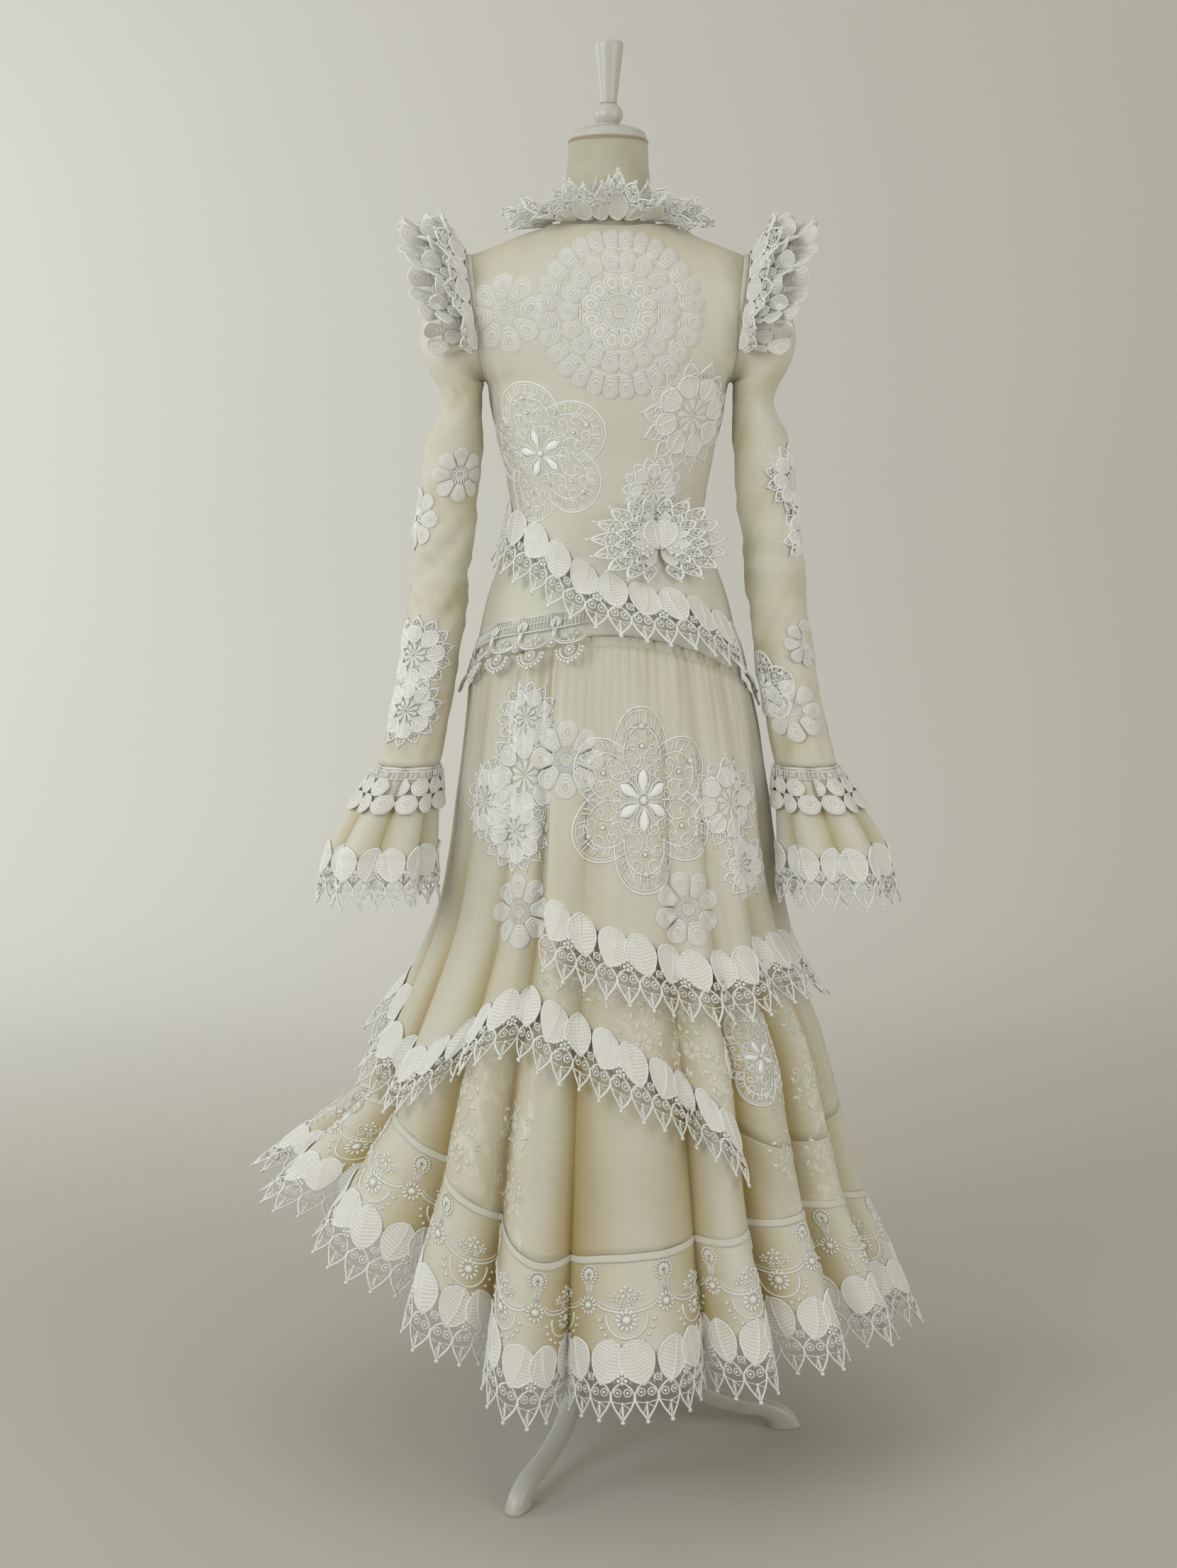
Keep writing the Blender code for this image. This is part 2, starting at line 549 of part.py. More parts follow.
def trunk_point(turn, height, out):
    """A point outside both the bodice and the skirt's ridges."""
    angle = np.radians(turn)
    side = np.where(np.cos(angle) > 0, -1, 1)
    wide = smooth(BODY["height"], BODY["wide"], height)
    deep = np.where(side < 0, smooth(BODY["height"], BODY["back"], height),
                    smooth(BODY["height"], BODY["front"], height))
    left_or_right = np.where(np.sin(angle) < 0, smooth(SKIRT["height"], SKIRT["left"], height),
                             smooth(SKIRT["height"], SKIRT["right"], height))
    back_or_front = np.where(side < 0, smooth(SKIRT["height"], SKIRT["back"], height),
                             smooth(SKIRT["height"], SKIRT["front"], height))
    low = height < bodice_edge(angle, side) + 0.004
    wide = np.where(low, np.maximum(wide, left_or_right), wide) + out
    deep = np.where(low, np.maximum(deep, back_or_front), deep) + out
    return np.stack([wide * np.sin(angle), -deep * np.cos(angle), height + 0 * angle], axis=-1)


def build_strip(name, parent, strip):
    """A strip of leaf lace along an edge, a little off its parent, leaning out in waves."""
    columns = 2 * strip["repeats"] + 2
    turns = np.linspace(strip["place"][0], strip["place"][-1], columns)
    top = smooth(strip["place"], strip["height"], turns)
    beside = np.sin(np.radians(turns)) ** 2
    lean = strip["lean"] * (1 + (strip["side_lean"] - 1) * beside)
    wave = strip["wave"] * (0.5 - 0.5 * np.cos(np.arange(columns) * math.pi / 2)) * lean / strip["lean"]

    def surface(down):
        share = down / strip["long"]
        out = np.where(share > 0, strip["lift"], strip["seat"]) + share * (lean + wave)
        drop = down * np.sqrt(1 - (lean / strip["long"]) ** 2)
        return parent(turns, top - drop, out)

    grid = lace_rows(surface, columns, strip["long"])
    wall(name, grid, LACE, "white_guipure_lace", cut=lace_holes(grid))


def over_point(turn, height, out):
    """A point off the overskirt, or off the skirt below the overskirt's edge."""
    return skirt_point(turn, height, OVER_LIFT["bottom"] + out)


def build_overskirt():
    turns = np.linspace(OVER_FROM, OVER_TO, OVER_COLUMNS + 1)
    angle = np.radians(turns)
    side = np.where(np.cos(angle) > 0, -1, 1)
    top = bodice_edge(angle, side) - 0.012
    edge = smooth(OVER_EDGE["place"], OVER_EDGE["height"], turns)
    rows = []
    for share in (0.0, 0.14, 0.38, 0.68, 1.0):
        lift = OVER_LIFT["top"] + (OVER_LIFT["bottom"] - OVER_LIFT["top"]) * min(1.0, share * 1.6)
        rows.append(skirt_point(turns, top + (edge - top) * share, lift + APPLIQUE * (share > 0)))
    grid = np.array(rows)
    wall("overskirt", grid, CLOTH, "cream_voile", raised=lifted_over(SKIRT_MOTIFS, grid))


def build_trims():
    build_strip("hip_lace", trunk_point, STRIPS["hip_lace"])
    build_strip("hip_scallop_lace", trunk_point, STRIPS["hip_scallop_lace"])
    build_strip("overskirt_lace", over_point, STRIPS["overskirt_lace"])
    build_strip("skirt_lace", skirt_point, STRIPS["skirt_lace"])
    build_butterfly()


def build_butterfly():
    """The folded lace motif at the waist: two wings that rise from a line on the bodice."""
    half = BUTTERFLY["half_wide"]
    across = np.array((-1.0, -0.5, 0.0, 0.5, 1.0)) * half
    down = np.array((0.0, 0.35, 0.7, 1.0)) * BUTTERFLY["long"]
    rows = []
    for drop in down:
        height = np.full(len(across), BUTTERFLY["height"] + BUTTERFLY["long"] / 2 - drop)
        turn = BUTTERFLY["turn"] + np.degrees(across / 0.105)
        rows.append(trunk_point(turn, height, 0.0030 + BUTTERFLY["slope"] * np.abs(across)))
    wall("waist_butterfly", np.array(rows), LACE, "white_guipure_lace")


def sleeve_rings():
    """Ring centres and half axes, from the armhole down to the wrist, for the +X arm."""
    lean = math.atan2(SHOULDER_TIP[0] - BODY["wide"][8], SHOULDER_TIP[1] - ARMPIT)
    tall = math.hypot(SHOULDER_TIP[0] - BODY["wide"][8], SHOULDER_TIP[1] - ARMPIT) / 2
    seam_out = (SHOULDER_TIP[0] + BODY["wide"][8]) / 2 + CLOTH / 2 + 1.8 * SEAM
    rings = [(np.array([seam_out, 0.0, ARM_LEVEL]), lean, tall, ARM_DEPTH)]
    for turn, near, far, deep in zip(*SLEEVE_TURNS.values()):
        turn = math.radians(turn)
        outwards = np.array([math.sin(turn), 0.0, math.cos(turn)])
        centre = np.array([ARMPIT_PIVOT[0], 0.0, ARMPIT_PIVOT[1]]) + outwards * (near + far) / 2
        rings.append((centre, turn, (far - near) / 2, deep))
    for height, out, near_y, wide, deep in zip(*SLEEVE_LEVELS.values()):
        rings.append((np.array([out, near_y, height]), math.pi / 2, wide, deep))
    return rings


def mirrored(grid, arm):
    """The -X arm's grid, with its columns turned round so that the rows still run alike."""
    if arm > 0:
        return grid
    turned_round = grid[:, ::-1].copy()
    turned_round[..., 0] *= -1
    return turned_round


def build_arm(arm, name):
    angles = np.arange(SLEEVE_SIDES) * math.tau / SLEEVE_SIDES
    rows = []
    for centre, turn, tall, deep in sleeve_rings():
        outwards = np.array([math.sin(turn), 0.0, math.cos(turn)])
        rows.append(centre + outwards * tall * np.cos(angles)[:, None]
                    + np.array([0.0, 1.0, 0.0]) * deep * np.sin(angles)[:, None])
    wall(f"sleeve_{name}", mirrored(np.array(rows), arm), CLOTH, "cream_voile", closed=True)
    build_cuff(arm, name)
    build_arm_ruffles(arm, name)


def cuff_point(turn, height, added=0.0):
    """A point of the +X cuff, the turn in degrees round from its back towards +X."""
    low_to_high = CUFF["height"][::-1]
    at = {key: smooth(low_to_high, CUFF[key][::-1], height) for key in CUFF if key != "height"}
    share = np.abs(2 * ((turn * CUFF_FOLDS / 360) % 1.0) - 1) ** 1.7
    angle = np.radians(turn)
    inwards = at["fold"] * share - added
    return np.stack([at["out"] + (at["wide"] - inwards) * np.sin(angle),
                     at["near_y"] - (at["deep"] - inwards) * np.cos(angle), height + 0 * angle], axis=-1)


def build_cuff(arm, name):
    count = CUFF_FOLDS * CUFF_COLUMNS_A_FOLD
    turns = np.arange(count) * 360 / count
    top = CUFF["height"][0]
    levels = (top, 0.868, CUFF_CLOTH_END + SEAM / 2)
    grid = np.array([cuff_point(turns, np.full(count, level)) for level in levels])
    wall(f"cuff_{name}", mirrored(grid, arm), CLOTH, "cream_voile", closed=True)
    lace_long = CUFF_CLOTH_END - CUFF["height"][-1]
    ridge = CUFF_COLUMNS_A_FOLD // 2
    for half, first in (("outer", ridge), ("inner", ridge + count // 2)):
        picked = (first + np.arange(count // 2 + 1)) * 360 / count
        picked[0] += 0.5
        picked[-1] -= 0.5
        grid = lace_rows(lambda down, picked=picked: cuff_point(picked, CUFF_CLOTH_END - SEAM / 2 - down),
                         len(picked), lace_long)
        wall(f"cuff_lace_{name}_{half}", mirrored(grid, arm), LACE, "white_guipure_lace",
             cut=lace_holes(grid))
    lift = LACE / 2 + CLOTH / 2 + CLEAR
    levels = (top - 0.001, top - 0.55 * FRILL_LONG, top - FRILL_LONG)
    grid = np.array([cuff_point(turns, np.full(count, level), lift + FRILL_LEAN * (top - level))
                     for level in levels])
    wall(f"cuff_frill_{name}", mirrored(grid, arm), LACE, "white_guipure_lace", closed=True)


def build_arm_ruffles(arm, name):
    """Two strips of lace that stand out from the armhole seam, waving more towards their edge."""
    centre, lean, tall, deep = sleeve_rings()[0]
    up = np.array([math.sin(lean), 0.0, math.cos(lean)])
    back = np.array([0.0, 1.0, 0.0])
    for kind, ruffle in ARM_RUFFLES.items():
        columns = 2 * ruffle["repeats"] + 2
        around = np.linspace(-RUFFLE_SPAN, RUFFLE_SPAN, columns)
        angle = np.radians(around)[:, None]
        start = ruffle["start"]
        seam = centre + up * (tall + start) * np.cos(angle) + back * (deep + start) * np.sin(angle)
        seam = seam + np.array([CLEAR + CLOTH / 2, 0.0, 0.0])
        ray = up * np.cos(angle) + back * np.sin(angle)
        forward = np.array([1.0, 0.0, 0.0]) * ruffle["out"] + ray * ruffle["round"]
        forward /= np.linalg.norm(forward, axis=1, keepdims=True)
        across = ray * ruffle["out"] - np.array([1.0, 0.0, 0.0]) * ruffle["round"]
        across /= np.linalg.norm(across, axis=1, keepdims=True)
        long = ruffle["long"] * (1 - ruffle["taper"] * (np.abs(around) / RUFFLE_SPAN) ** 2)[:, None]
        phase = math.pi * around / RUFFLE_SPAN * ruffle["waves"]
        wave = ruffle["wave"] * np.sin(phase)[:, None]

        def surface(down):
            share = down[:, None]
            return seam + forward * long * share + across * wave * share**1.3

        if kind == "leaf_ruffle":
            grid = lace_rows(surface, columns, 1.0)
            cut = lace_holes(grid)
        else:
            grid = np.array([surface(np.full(columns, share)) for share in (0.0, 0.5, 1.0)])
            cut = None
        wall(f"{kind}_{name}", mirrored(grid, arm), LACE, "white_guipure_lace", cut=cut)


def build_collar():
    """The frill of leaf lace round the neck, in two halves: it stands up at the nape and lies
    out over the shoulders."""
    half_columns = COLLAR["repeats"] + 2
    for name, start in (("collar_left", -180.0), ("collar_right", 0.0)):
        around = np.linspace(start + 1.0, start + 179.0, half_columns)
        angle = np.radians(around)
        deep = np.where(np.cos(angle) > 0, NAPE[0], THROAT[0])
        height = np.where(np.cos(angle) > 0, NAPE[1], THROAT[1])
        rise = smooth_round(COLLAR["place"], COLLAR["rise"], around)[:, None]
        wide = NECK_POINT[0] + 0.0022
        seam = np.stack([wide * np.sin(angle), -(deep + 0.0022) * np.cos(angle),
                         NECK_POINT[1] + (height - NECK_POINT[1]) * np.cos(angle) ** 2 + 0.0028], axis=-1)
        ray = np.stack([np.sin(angle), -np.cos(angle), np.zeros_like(angle)], axis=-1)
        up = np.array([0.0, 0.0, 1.0])
        forward = ray * np.sqrt(1 - rise**2) + up * rise
        across = up * np.sqrt(1 - rise**2) - ray * rise
        wave = COLLAR["wave"] * np.sin(angle * COLLAR["waves"])[:, None]

        def surface(down):
            share = (down / COLLAR["long"])[:, None]
            return seam + forward * down[:, None] + across * (wave * share**1.2 + 0.006 * share)

        grid = lace_rows(surface, half_columns, COLLAR["long"])
        wall(name, grid, LACE, "white_guipure_lace", cut=lace_holes(grid))


def stand_on_origin():
    """Moves every piece so that the floor's centre under the part is the origin."""
    corners = np.array([tuple(vertex.co) for thing in bpy.data.objects for vertex in thing.data.vertices])
    low, high = corners.min(axis=0), corners.max(axis=0)
    shift = np.array([-(low[0] + high[0]) / 2, -(low[1] + high[1]) / 2, 0.0])
    for thing in bpy.data.objects:
        thing.location = tuple(shift)


def main():
    clear_scene()
    build_form()
    build_stand()
    build_bodice()
    build_skirt()
    build_overskirt()
    build_trims()
    build_collar()
    build_arm(1, "right")
    build_arm(-1, "left")
    stand_on_origin()


main()
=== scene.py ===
import json
import math

import bpy
import numpy as np
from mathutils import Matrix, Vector

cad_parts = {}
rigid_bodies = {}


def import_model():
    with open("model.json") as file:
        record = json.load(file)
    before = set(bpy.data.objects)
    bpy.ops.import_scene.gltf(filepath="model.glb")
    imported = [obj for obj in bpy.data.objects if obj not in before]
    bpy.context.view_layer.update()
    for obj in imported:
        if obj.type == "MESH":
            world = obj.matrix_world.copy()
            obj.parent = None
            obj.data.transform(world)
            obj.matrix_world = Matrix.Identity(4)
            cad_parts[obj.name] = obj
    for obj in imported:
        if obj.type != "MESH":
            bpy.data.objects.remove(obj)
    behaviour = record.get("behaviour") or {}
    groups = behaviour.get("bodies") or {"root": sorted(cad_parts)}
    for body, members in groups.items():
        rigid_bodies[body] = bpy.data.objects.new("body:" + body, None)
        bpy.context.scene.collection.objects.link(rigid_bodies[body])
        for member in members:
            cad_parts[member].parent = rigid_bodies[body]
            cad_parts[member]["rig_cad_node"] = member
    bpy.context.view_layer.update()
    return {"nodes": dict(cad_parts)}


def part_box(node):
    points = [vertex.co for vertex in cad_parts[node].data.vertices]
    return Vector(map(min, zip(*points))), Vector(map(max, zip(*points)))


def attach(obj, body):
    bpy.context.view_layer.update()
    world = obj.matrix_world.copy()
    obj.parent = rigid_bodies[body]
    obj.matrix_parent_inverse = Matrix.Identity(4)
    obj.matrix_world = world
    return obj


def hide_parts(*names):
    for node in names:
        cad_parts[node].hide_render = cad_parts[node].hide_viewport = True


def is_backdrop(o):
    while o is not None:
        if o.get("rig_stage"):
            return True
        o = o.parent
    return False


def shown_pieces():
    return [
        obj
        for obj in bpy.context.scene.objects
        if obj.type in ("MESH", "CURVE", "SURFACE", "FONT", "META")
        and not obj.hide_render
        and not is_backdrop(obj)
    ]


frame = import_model()

# The pole's axis: every surface is worked out round it, in metres, the back towards -Y
lowPole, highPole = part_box("pole")
axis = np.array([(lowPole[0] + highPole[0]) / 2, (lowPole[1] + highPole[1]) / 2, 0.0])

cameraSet = {"place": (-0.024, -2.62, 1.30), "tilt": 9.0, "lens": 47.3, "sensor": 36.0}

camera = bpy.data.objects.new("camera", bpy.data.cameras.new("camera"))
camera.location = Vector(axis) + Vector(cameraSet["place"])
camera.rotation_euler = (math.radians(90 - cameraSet["tilt"]), 0, 0)
camera.data.lens = cameraSet["lens"]
camera.data.sensor_width = cameraSet["sensor"]
camera.data.clip_end = 60
bpy.context.scene.collection.objects.link(camera)
bpy.context.scene.camera = camera


class Sum:
    # One node socket, so that a shader's sums can be written as Python expressions
    def __init__(self, tree, socket):
        self.tree, self.socket = tree, socket

    def node(self, kind, settings=None, inputs=None, out=0):
        # Makes a node: its settings first, then the value or link of each named or numbered socket
        made = self.tree.nodes.new(kind)
        for key, value in (settings or {}).items():
            setattr(made, key, value)
        for key, value in (inputs or {}).items():
            if isinstance(value, Sum):
                self.tree.links.new(value.socket, made.inputs[key])
            else:
                made.inputs[key].default_value = value
        return Sum(self.tree, made.outputs[out])

    def math(self, operation, *values, clamp=False):
        # One step of arithmetic on the values, held between 0 and 1 if clamp is set
        return self.node("ShaderNodeMath", {"operation": operation, "use_clamp": clamp},
                         dict(enumerate(values)))

    def __add__(self, other): return self.math("ADD", self, other)
    def __sub__(self, other): return self.math("SUBTRACT", self, other)
    def __mul__(self, other): return self.math("MULTIPLY", self, other)
    def __rsub__(self, other): return self.math("SUBTRACT", other, self)
    __radd__, __rmul__ = __add__, __mul__

    def sine(self): return self.math("SINE", self)
    def size(self): return self.math("ABSOLUTE", self)
    def within(self): return self.math("ADD", self, 0.0, clamp=True)

    def between(self, low, high):
        # 0 below low, 1 above high and a smooth step between them
        return self.node("ShaderNodeMapRange", {"interpolation_type": "SMOOTHSTEP"},
                         {0: self, 1: low, 2: high, 3: 0.0, 4: 1.0})


def mixed(share, first, second):
    # A colour that goes from first to second with the share
    return share.node("ShaderNodeMix", {"data_type": "RGBA", "clamp_factor": True},
                      {0: share, 6: (*first, 1) if isinstance(first, tuple) else first,
                       7: (*second, 1) if isinstance(second, tuple) else second}, out=2)


def newMaterial(name, settings):
    # A Principled material whose even values are set on its own sockets
    made = bpy.data.materials.new(name)
    made.use_nodes = True
    surface = made.node_tree.nodes["Principled BSDF"]
    for key, value in settings.items():
        surface.inputs[key].default_value = value
    start = Sum(made.node_tree, None)
    return made, surface, start


def noiseAt(start, vector, scale, detail=2.0, rough=0.5):
    # Cloudy values round a half: about one swing to each 1 / scale of the vector
    return start.node("ShaderNodeTexNoise", {}, {"Vector": vector, "Scale": scale, "Detail": detail,
                                                 "Roughness": rough})


def stretchedBy(start, vector, x, y, z=1.0):
    # The vector with each of its coordinates times its own factor
    return start.node("ShaderNodeVectorMath", {"operation": "MULTIPLY"}, {0: vector, 1: (x, y, z)})


def parts(start, vector):
    # The vector's three coordinates
    made = start.tree.nodes.new("ShaderNodeSeparateXYZ")
    start.tree.links.new(vector.socket, made.inputs[0])
    return [Sum(start.tree, made.outputs[k]) for k in range(3)]


def feed(start, surface, name, value):
    # Links a value to one of the surface's sockets
    start.tree.links.new(value.socket, surface.inputs[name])


def bumped(start, surface, height, strength, distance):
    # Leans the surface's normal with the slope of a height
    normal = start.node("ShaderNodeBump", {}, {"Strength": strength, "Distance": distance, "Height": height})
    feed(start, surface, "Normal", normal)


# Voile colours: pale is the cloth's own, deep is the gold of its painted shade and of its darker uneven tone
clothLook = {"pale": (0.655, 0.655, 0.57), "deep": (0.44, 0.33, 0.115), "thread": 0.0011,
             "slubs": (24.0, 620.0), "yarns": (420.0, 14.0), "clouds": (7.0, 5.0)}


def voileMaterial():
    # Cream voile: fine crossed threads, longer slubs across, and painted shade of a deeper gold from the fold
    # attribute, inside the folds and wherever a piece sets it
    made, surface, start = newMaterial("creamVoile", {"Roughness": 0.72, "Sheen Weight": 0.3,
                                                      "Sheen Roughness": 0.45, "Specular IOR Level": 0.25})
    sheet = start.node("ShaderNodeUVMap", {"uv_map": "sheet"})
    across, down = parts(start, sheet)[:2]
    fold = start.node("ShaderNodeAttribute", {"attribute_name": "fold"}, out=2)
    pitch = math.tau / clothLook["thread"]
    weave = (across * pitch).sine() * 0.5 + (down * pitch).sine() * 0.5
    slubs = noiseAt(start, stretchedBy(start, sheet, *clothLook["slubs"]), 1.0, 3.0, 0.6)
    threads = noiseAt(start, stretchedBy(start, sheet, *clothLook["yarns"]), 1.0, 2.0, 0.6)
    cloudy = noiseAt(start, stretchedBy(start, sheet, *clothLook["clouds"]), 1.0, 3.0)
    # Painted shade from the fold attribute, plus the cloth's own cloudy, slubbed and threaded tone
    shade = (fold + (cloudy - 0.5) * 0.42 + (slubs - 0.5) * 0.30 + (threads - 0.5) * 0.12).within()
    feed(start, surface, "Base Color", mixed(shade, clothLook["pale"], clothLook["deep"]))
    bumped(start, surface, weave * 0.2 + slubs + threads * 0.4, 0.35, 0.0006)
    return made


# Lace colours: pale is the thread's own, deep is the colour of its painted shade in grooves and of its uneven
# tone
laceLook = {"pale": (0.92, 0.93, 0.915), "deep": (0.44, 0.42, 0.31), "stitch": 0.00135, "slant": 900.0}


def laceMaterial(name, pale, deep, satin=1.0):
    # White cotton thread: stitches run across each cord or petal, along its own second coordinate
    made, surface, start = newMaterial(name, {"Roughness": 0.6, "Sheen Weight": 0.25, "Sheen Roughness": 0.4,
                                              "Specular IOR Level": 0.3})
    thread = start.node("ShaderNodeUVMap", {"uv_map": "thread"})
    across, along = parts(start, thread)[:2]
    stitches = (along * (math.tau / laceLook["stitch"]) + across * laceLook["slant"]).sine()
    place = start.node("ShaderNodeTexCoord", out=3)
    uneven = noiseAt(start, place, 60.0, 3.0)
    fine = noiseAt(start, place, 1500.0, 2.0)
    fold = start.node("ShaderNodeAttribute", {"attribute_name": "fold"}, out=2)
    # The fold attribute is painted shade in the grooves and between the ribs; uneven is the thread's own tone
    shade = (stitches * 0.05 + (uneven - 0.5) * 0.22 + fold + 0.03).within()
    feed(start, surface, "Base Color", mixed(shade, pale, deep))
    bumped(start, surface, stitches * (0.4 * satin) + fine * 0.4, 0.30, 0.00030)
    return made


# Net lace colours, pale then deep in each pair: deep is where the painted shade of the fold attribute takes
# them, and for the thread also its uneven tone
netLook = {
    "thread": ((0.80, 0.80, 0.72), (0.56, 0.53, 0.40)), "ground": ((0.655, 0.645, 0.545), (0.45, 0.36, 0.19)),
    "woven": ((0.78, 0.78, 0.70), (0.52, 0.45, 0.30)), "flowers": 27.0, "petals": 118.0, "mesh": 480.0,
}


def netLaceMaterial():
    # Machine net lace: a fine six-sided mesh between woven flowers, leaves and winding stems
    made, surface, start = newMaterial("netLace", {"Roughness": 0.7, "Sheen Weight": 0.15,
                                                   "Specular IOR Level": 0.25})
    sheet = start.node("ShaderNodeUVMap", {"uv_map": "sheet"})
    fold = start.node("ShaderNodeAttribute", {"attribute_name": "fold"}, out=2)
    bend = noiseAt(start, sheet, 24.0, 3.0)
    winding = noiseAt(start, sheet, 34.0, 1.0)
    cells = start.node("ShaderNodeTexVoronoi", {"feature": "SMOOTH_F1"},
                       {"Vector": sheet, "Scale": netLook["flowers"], "Smoothness": 0.15, "Randomness": 0.8})
    petals = start.node("ShaderNodeTexVoronoi", {"feature": "SMOOTH_F1"},
                        {"Vector": sheet, "Scale": netLook["petals"], "Smoothness": 0.3})
    mesh = start.node("ShaderNodeTexVoronoi", {"feature": "DISTANCE_TO_EDGE"},
                      {"Vector": sheet, "Scale": netLook["mesh"], "Randomness": 0.2})
    flower = 1.0 - (cells + (petals - 0.35) * 0.30).between(0.26, 0.34)
    rings = ((cells * 44.0) + bend * 4.0).sine().between(-0.5, 0.3) * 0.5 + 0.5
    stems = 1.0 - ((winding - 0.5).size()).between(0.012, 0.030)
    leaves = (bend - 0.5).between(0.055, 0.085) * (petals.between(0.20, 0.32) * 0.6 + 0.4)
    threads = 1.0 - mesh.between(0.03, 0.12)
    solid = (flower * rings + stems * 0.45 + leaves * 0.4 + threads * 0.45).within()
    # Painted shade: the ground and the woven parts darken with the fold attribute, the skirt's painted fold
    # shade
    ground = mixed(fold.within(), *netLook["ground"])
    woven = mixed(fold.within(), *netLook["woven"])
    feed(start, surface, "Base Color", mixed(solid, ground, woven))
    bumped(start, surface, solid, 0.35, 0.0008)
    return made


cottonLook = {"pale": (0.50, 0.49, 0.385), "deep": (0.44, 0.425, 0.32), "threads": 5200.0}


def formClothMaterial():
    # The form's plain cotton cover: a close weave with faint marks of use
    made, surface, start = newMaterial("formCotton", {"Roughness": 0.9, "Sheen Weight": 0.2,
                                                      "Specular IOR Level": 0.2})
    place = start.node("ShaderNodeTexCoord", out=3)
    x, z = parts(start, place)[::2]
    weave = (x * cottonLook["threads"]).sine() + (z * cottonLook["threads"]).sine()
    marks = noiseAt(start, place, 26.0, 4.0)
    worn = marks.between(0.35, 0.75)
    feed(start, surface, "Base Color", mixed(worn, cottonLook["pale"], cottonLook["deep"]))
    bumped(start, surface, weave * 0.2 + marks, 0.2, 0.0006)
    return made


woodLook = {"pale": (0.52, 0.52, 0.47), "deep": (0.45, 0.435, 0.35), "brush": (260.0, 260.0, 14.0)}


def paintedWoodMaterial():
    # Off-white paint on turned wood, a little uneven, darker and rougher where it is handled
    made, surface, start = newMaterial("paintedWood", {"Specular IOR Level": 0.5, "Coat Roughness": 0.25})
    place = start.node("ShaderNodeTexCoord", out=3)
    brush = noiseAt(start, stretchedBy(start, place, *woodLook["brush"]), 1.0, 3.0)
    wear = noiseAt(start, place, 16.0, 5.0, 0.6)
    rub = wear.between(0.55, 0.78)
    feed(start, surface, "Base Color", mixed(rub, woodLook["pale"], woodLook["deep"]))
    feed(start, surface, "Roughness", rub * 0.2 + brush * 0.12 + 0.32)
    feed(start, surface, "Coat Weight", 0.28 - rub * 0.2)
    bumped(start, surface, brush, 0.12, 0.0006)
    return made


voile = voileMaterial()
netThread = laceMaterial("creamNetThread", *netLook["thread"], 0.5)
lace = laceMaterial("whiteGuipure", laceLook["pale"], laceLook["deep"])
netLace = netLaceMaterial()
formCotton = formClothMaterial()
paintedWood = paintedWoodMaterial()
print("materials made")


def makePiece(name, shape, material, replaces=(), uvName="sheet"):
    # Puts a shape's points and faces into a mesh, moved from the pole's axis to its place
    at = shape["at"] + axis
    quads, tris = shape["quads"], shape["tris"]
    loops = np.concatenate([quads.ravel(), tris.ravel()])
    starts = np.concatenate([np.arange(len(quads)) * 4, len(quads) * 4 + np.arange(len(tris)) * 3])
    mesh = bpy.data.meshes.new(name)
    mesh.vertices.add(len(at))
    mesh.vertices.foreach_set("co", at.astype(np.float32).ravel())
    mesh.loops.add(len(loops))
    mesh.loops.foreach_set("vertex_index", loops.astype(np.int32))
    mesh.polygons.add(len(starts))
    mesh.polygons.foreach_set("loop_start", starts.astype(np.int32))
    mesh.update(calc_edges=True)
    mesh.polygons.foreach_set("use_smooth", np.ones(len(starts), bool))
    layer = mesh.uv_layers.new(name=uvName)
    layer.data.foreach_set("uv", shape["uv"][loops].astype(np.float32).ravel())
    # The fold attribute carries each point's painted shade into the material's colour
    folds = mesh.attributes.new("fold", "FLOAT", "POINT")
    folds.data.foreach_set("value", shape["fold"].astype(np.float32))
    mesh.materials.append(material)
    mesh.validate()
    piece = bpy.data.objects.new(name, mesh)
    bpy.context.scene.collection.objects.link(piece)
    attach(piece, "root")
    if replaces:
        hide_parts(*replaces)
    print(name, len(quads) * 2 + len(tris), "triangles")
    return piece

def lacePiece(name, shape, replaces=(), material=lace):
    # A piece of lace, whose own coordinates run across and along its threads
    return makePiece(name, shape, material, replaces, "thread")


def clothPiece(name, shape, replaces=()):
    # A piece of voile
    return makePiece(name, shape, voile, replaces)


def woodPiece(name, shape, node):
    # A piece of the painted stand
    return makePiece(name, shape, paintedWood, [node])


upward = np.array([0.0, 0.0, 1.0])


def unitOf(vectors):
    # Each vector over its own length
    return vectors / np.maximum(np.linalg.norm(vectors, axis=-1, keepdims=True), 1e-12)


def normalsOf(grid, closed):
    # Unit normals of a grid of points: the cross product of its two directions at each point
    if closed:
        across = np.roll(grid, -1, axis=1) - np.roll(grid, 1, axis=1)
    else:
        across = np.gradient(grid, axis=1)
    down = np.gradient(grid, axis=0)
    return unitOf(np.cross(down, across))


noTris = np.zeros((0, 3), int)


def runAlong(points):
    # The distance along a line of points, from 0 at its first
    return np.concatenate([[0], np.cumsum(np.linalg.norm(np.diff(points, axis=0), axis=1))])


def gridFaces(rows, columns, closed=False, acrossFirst=False):
    # The four corners of each cell of a grid, taken down first or across first
    cells = columns if closed else columns - 1
    row, column = np.meshgrid(np.arange(rows - 1), np.arange(cells), indexing="ij")
    after = (column + 1) % columns
    corners = [row * columns + column, (row + 1) * columns + column,
               (row + 1) * columns + after, row * columns + after]
    if acrossFirst:
        corners = [corners[k] for k in (0, 3, 2, 1)]
    return np.stack(corners, axis=-1).reshape(-1, 4)


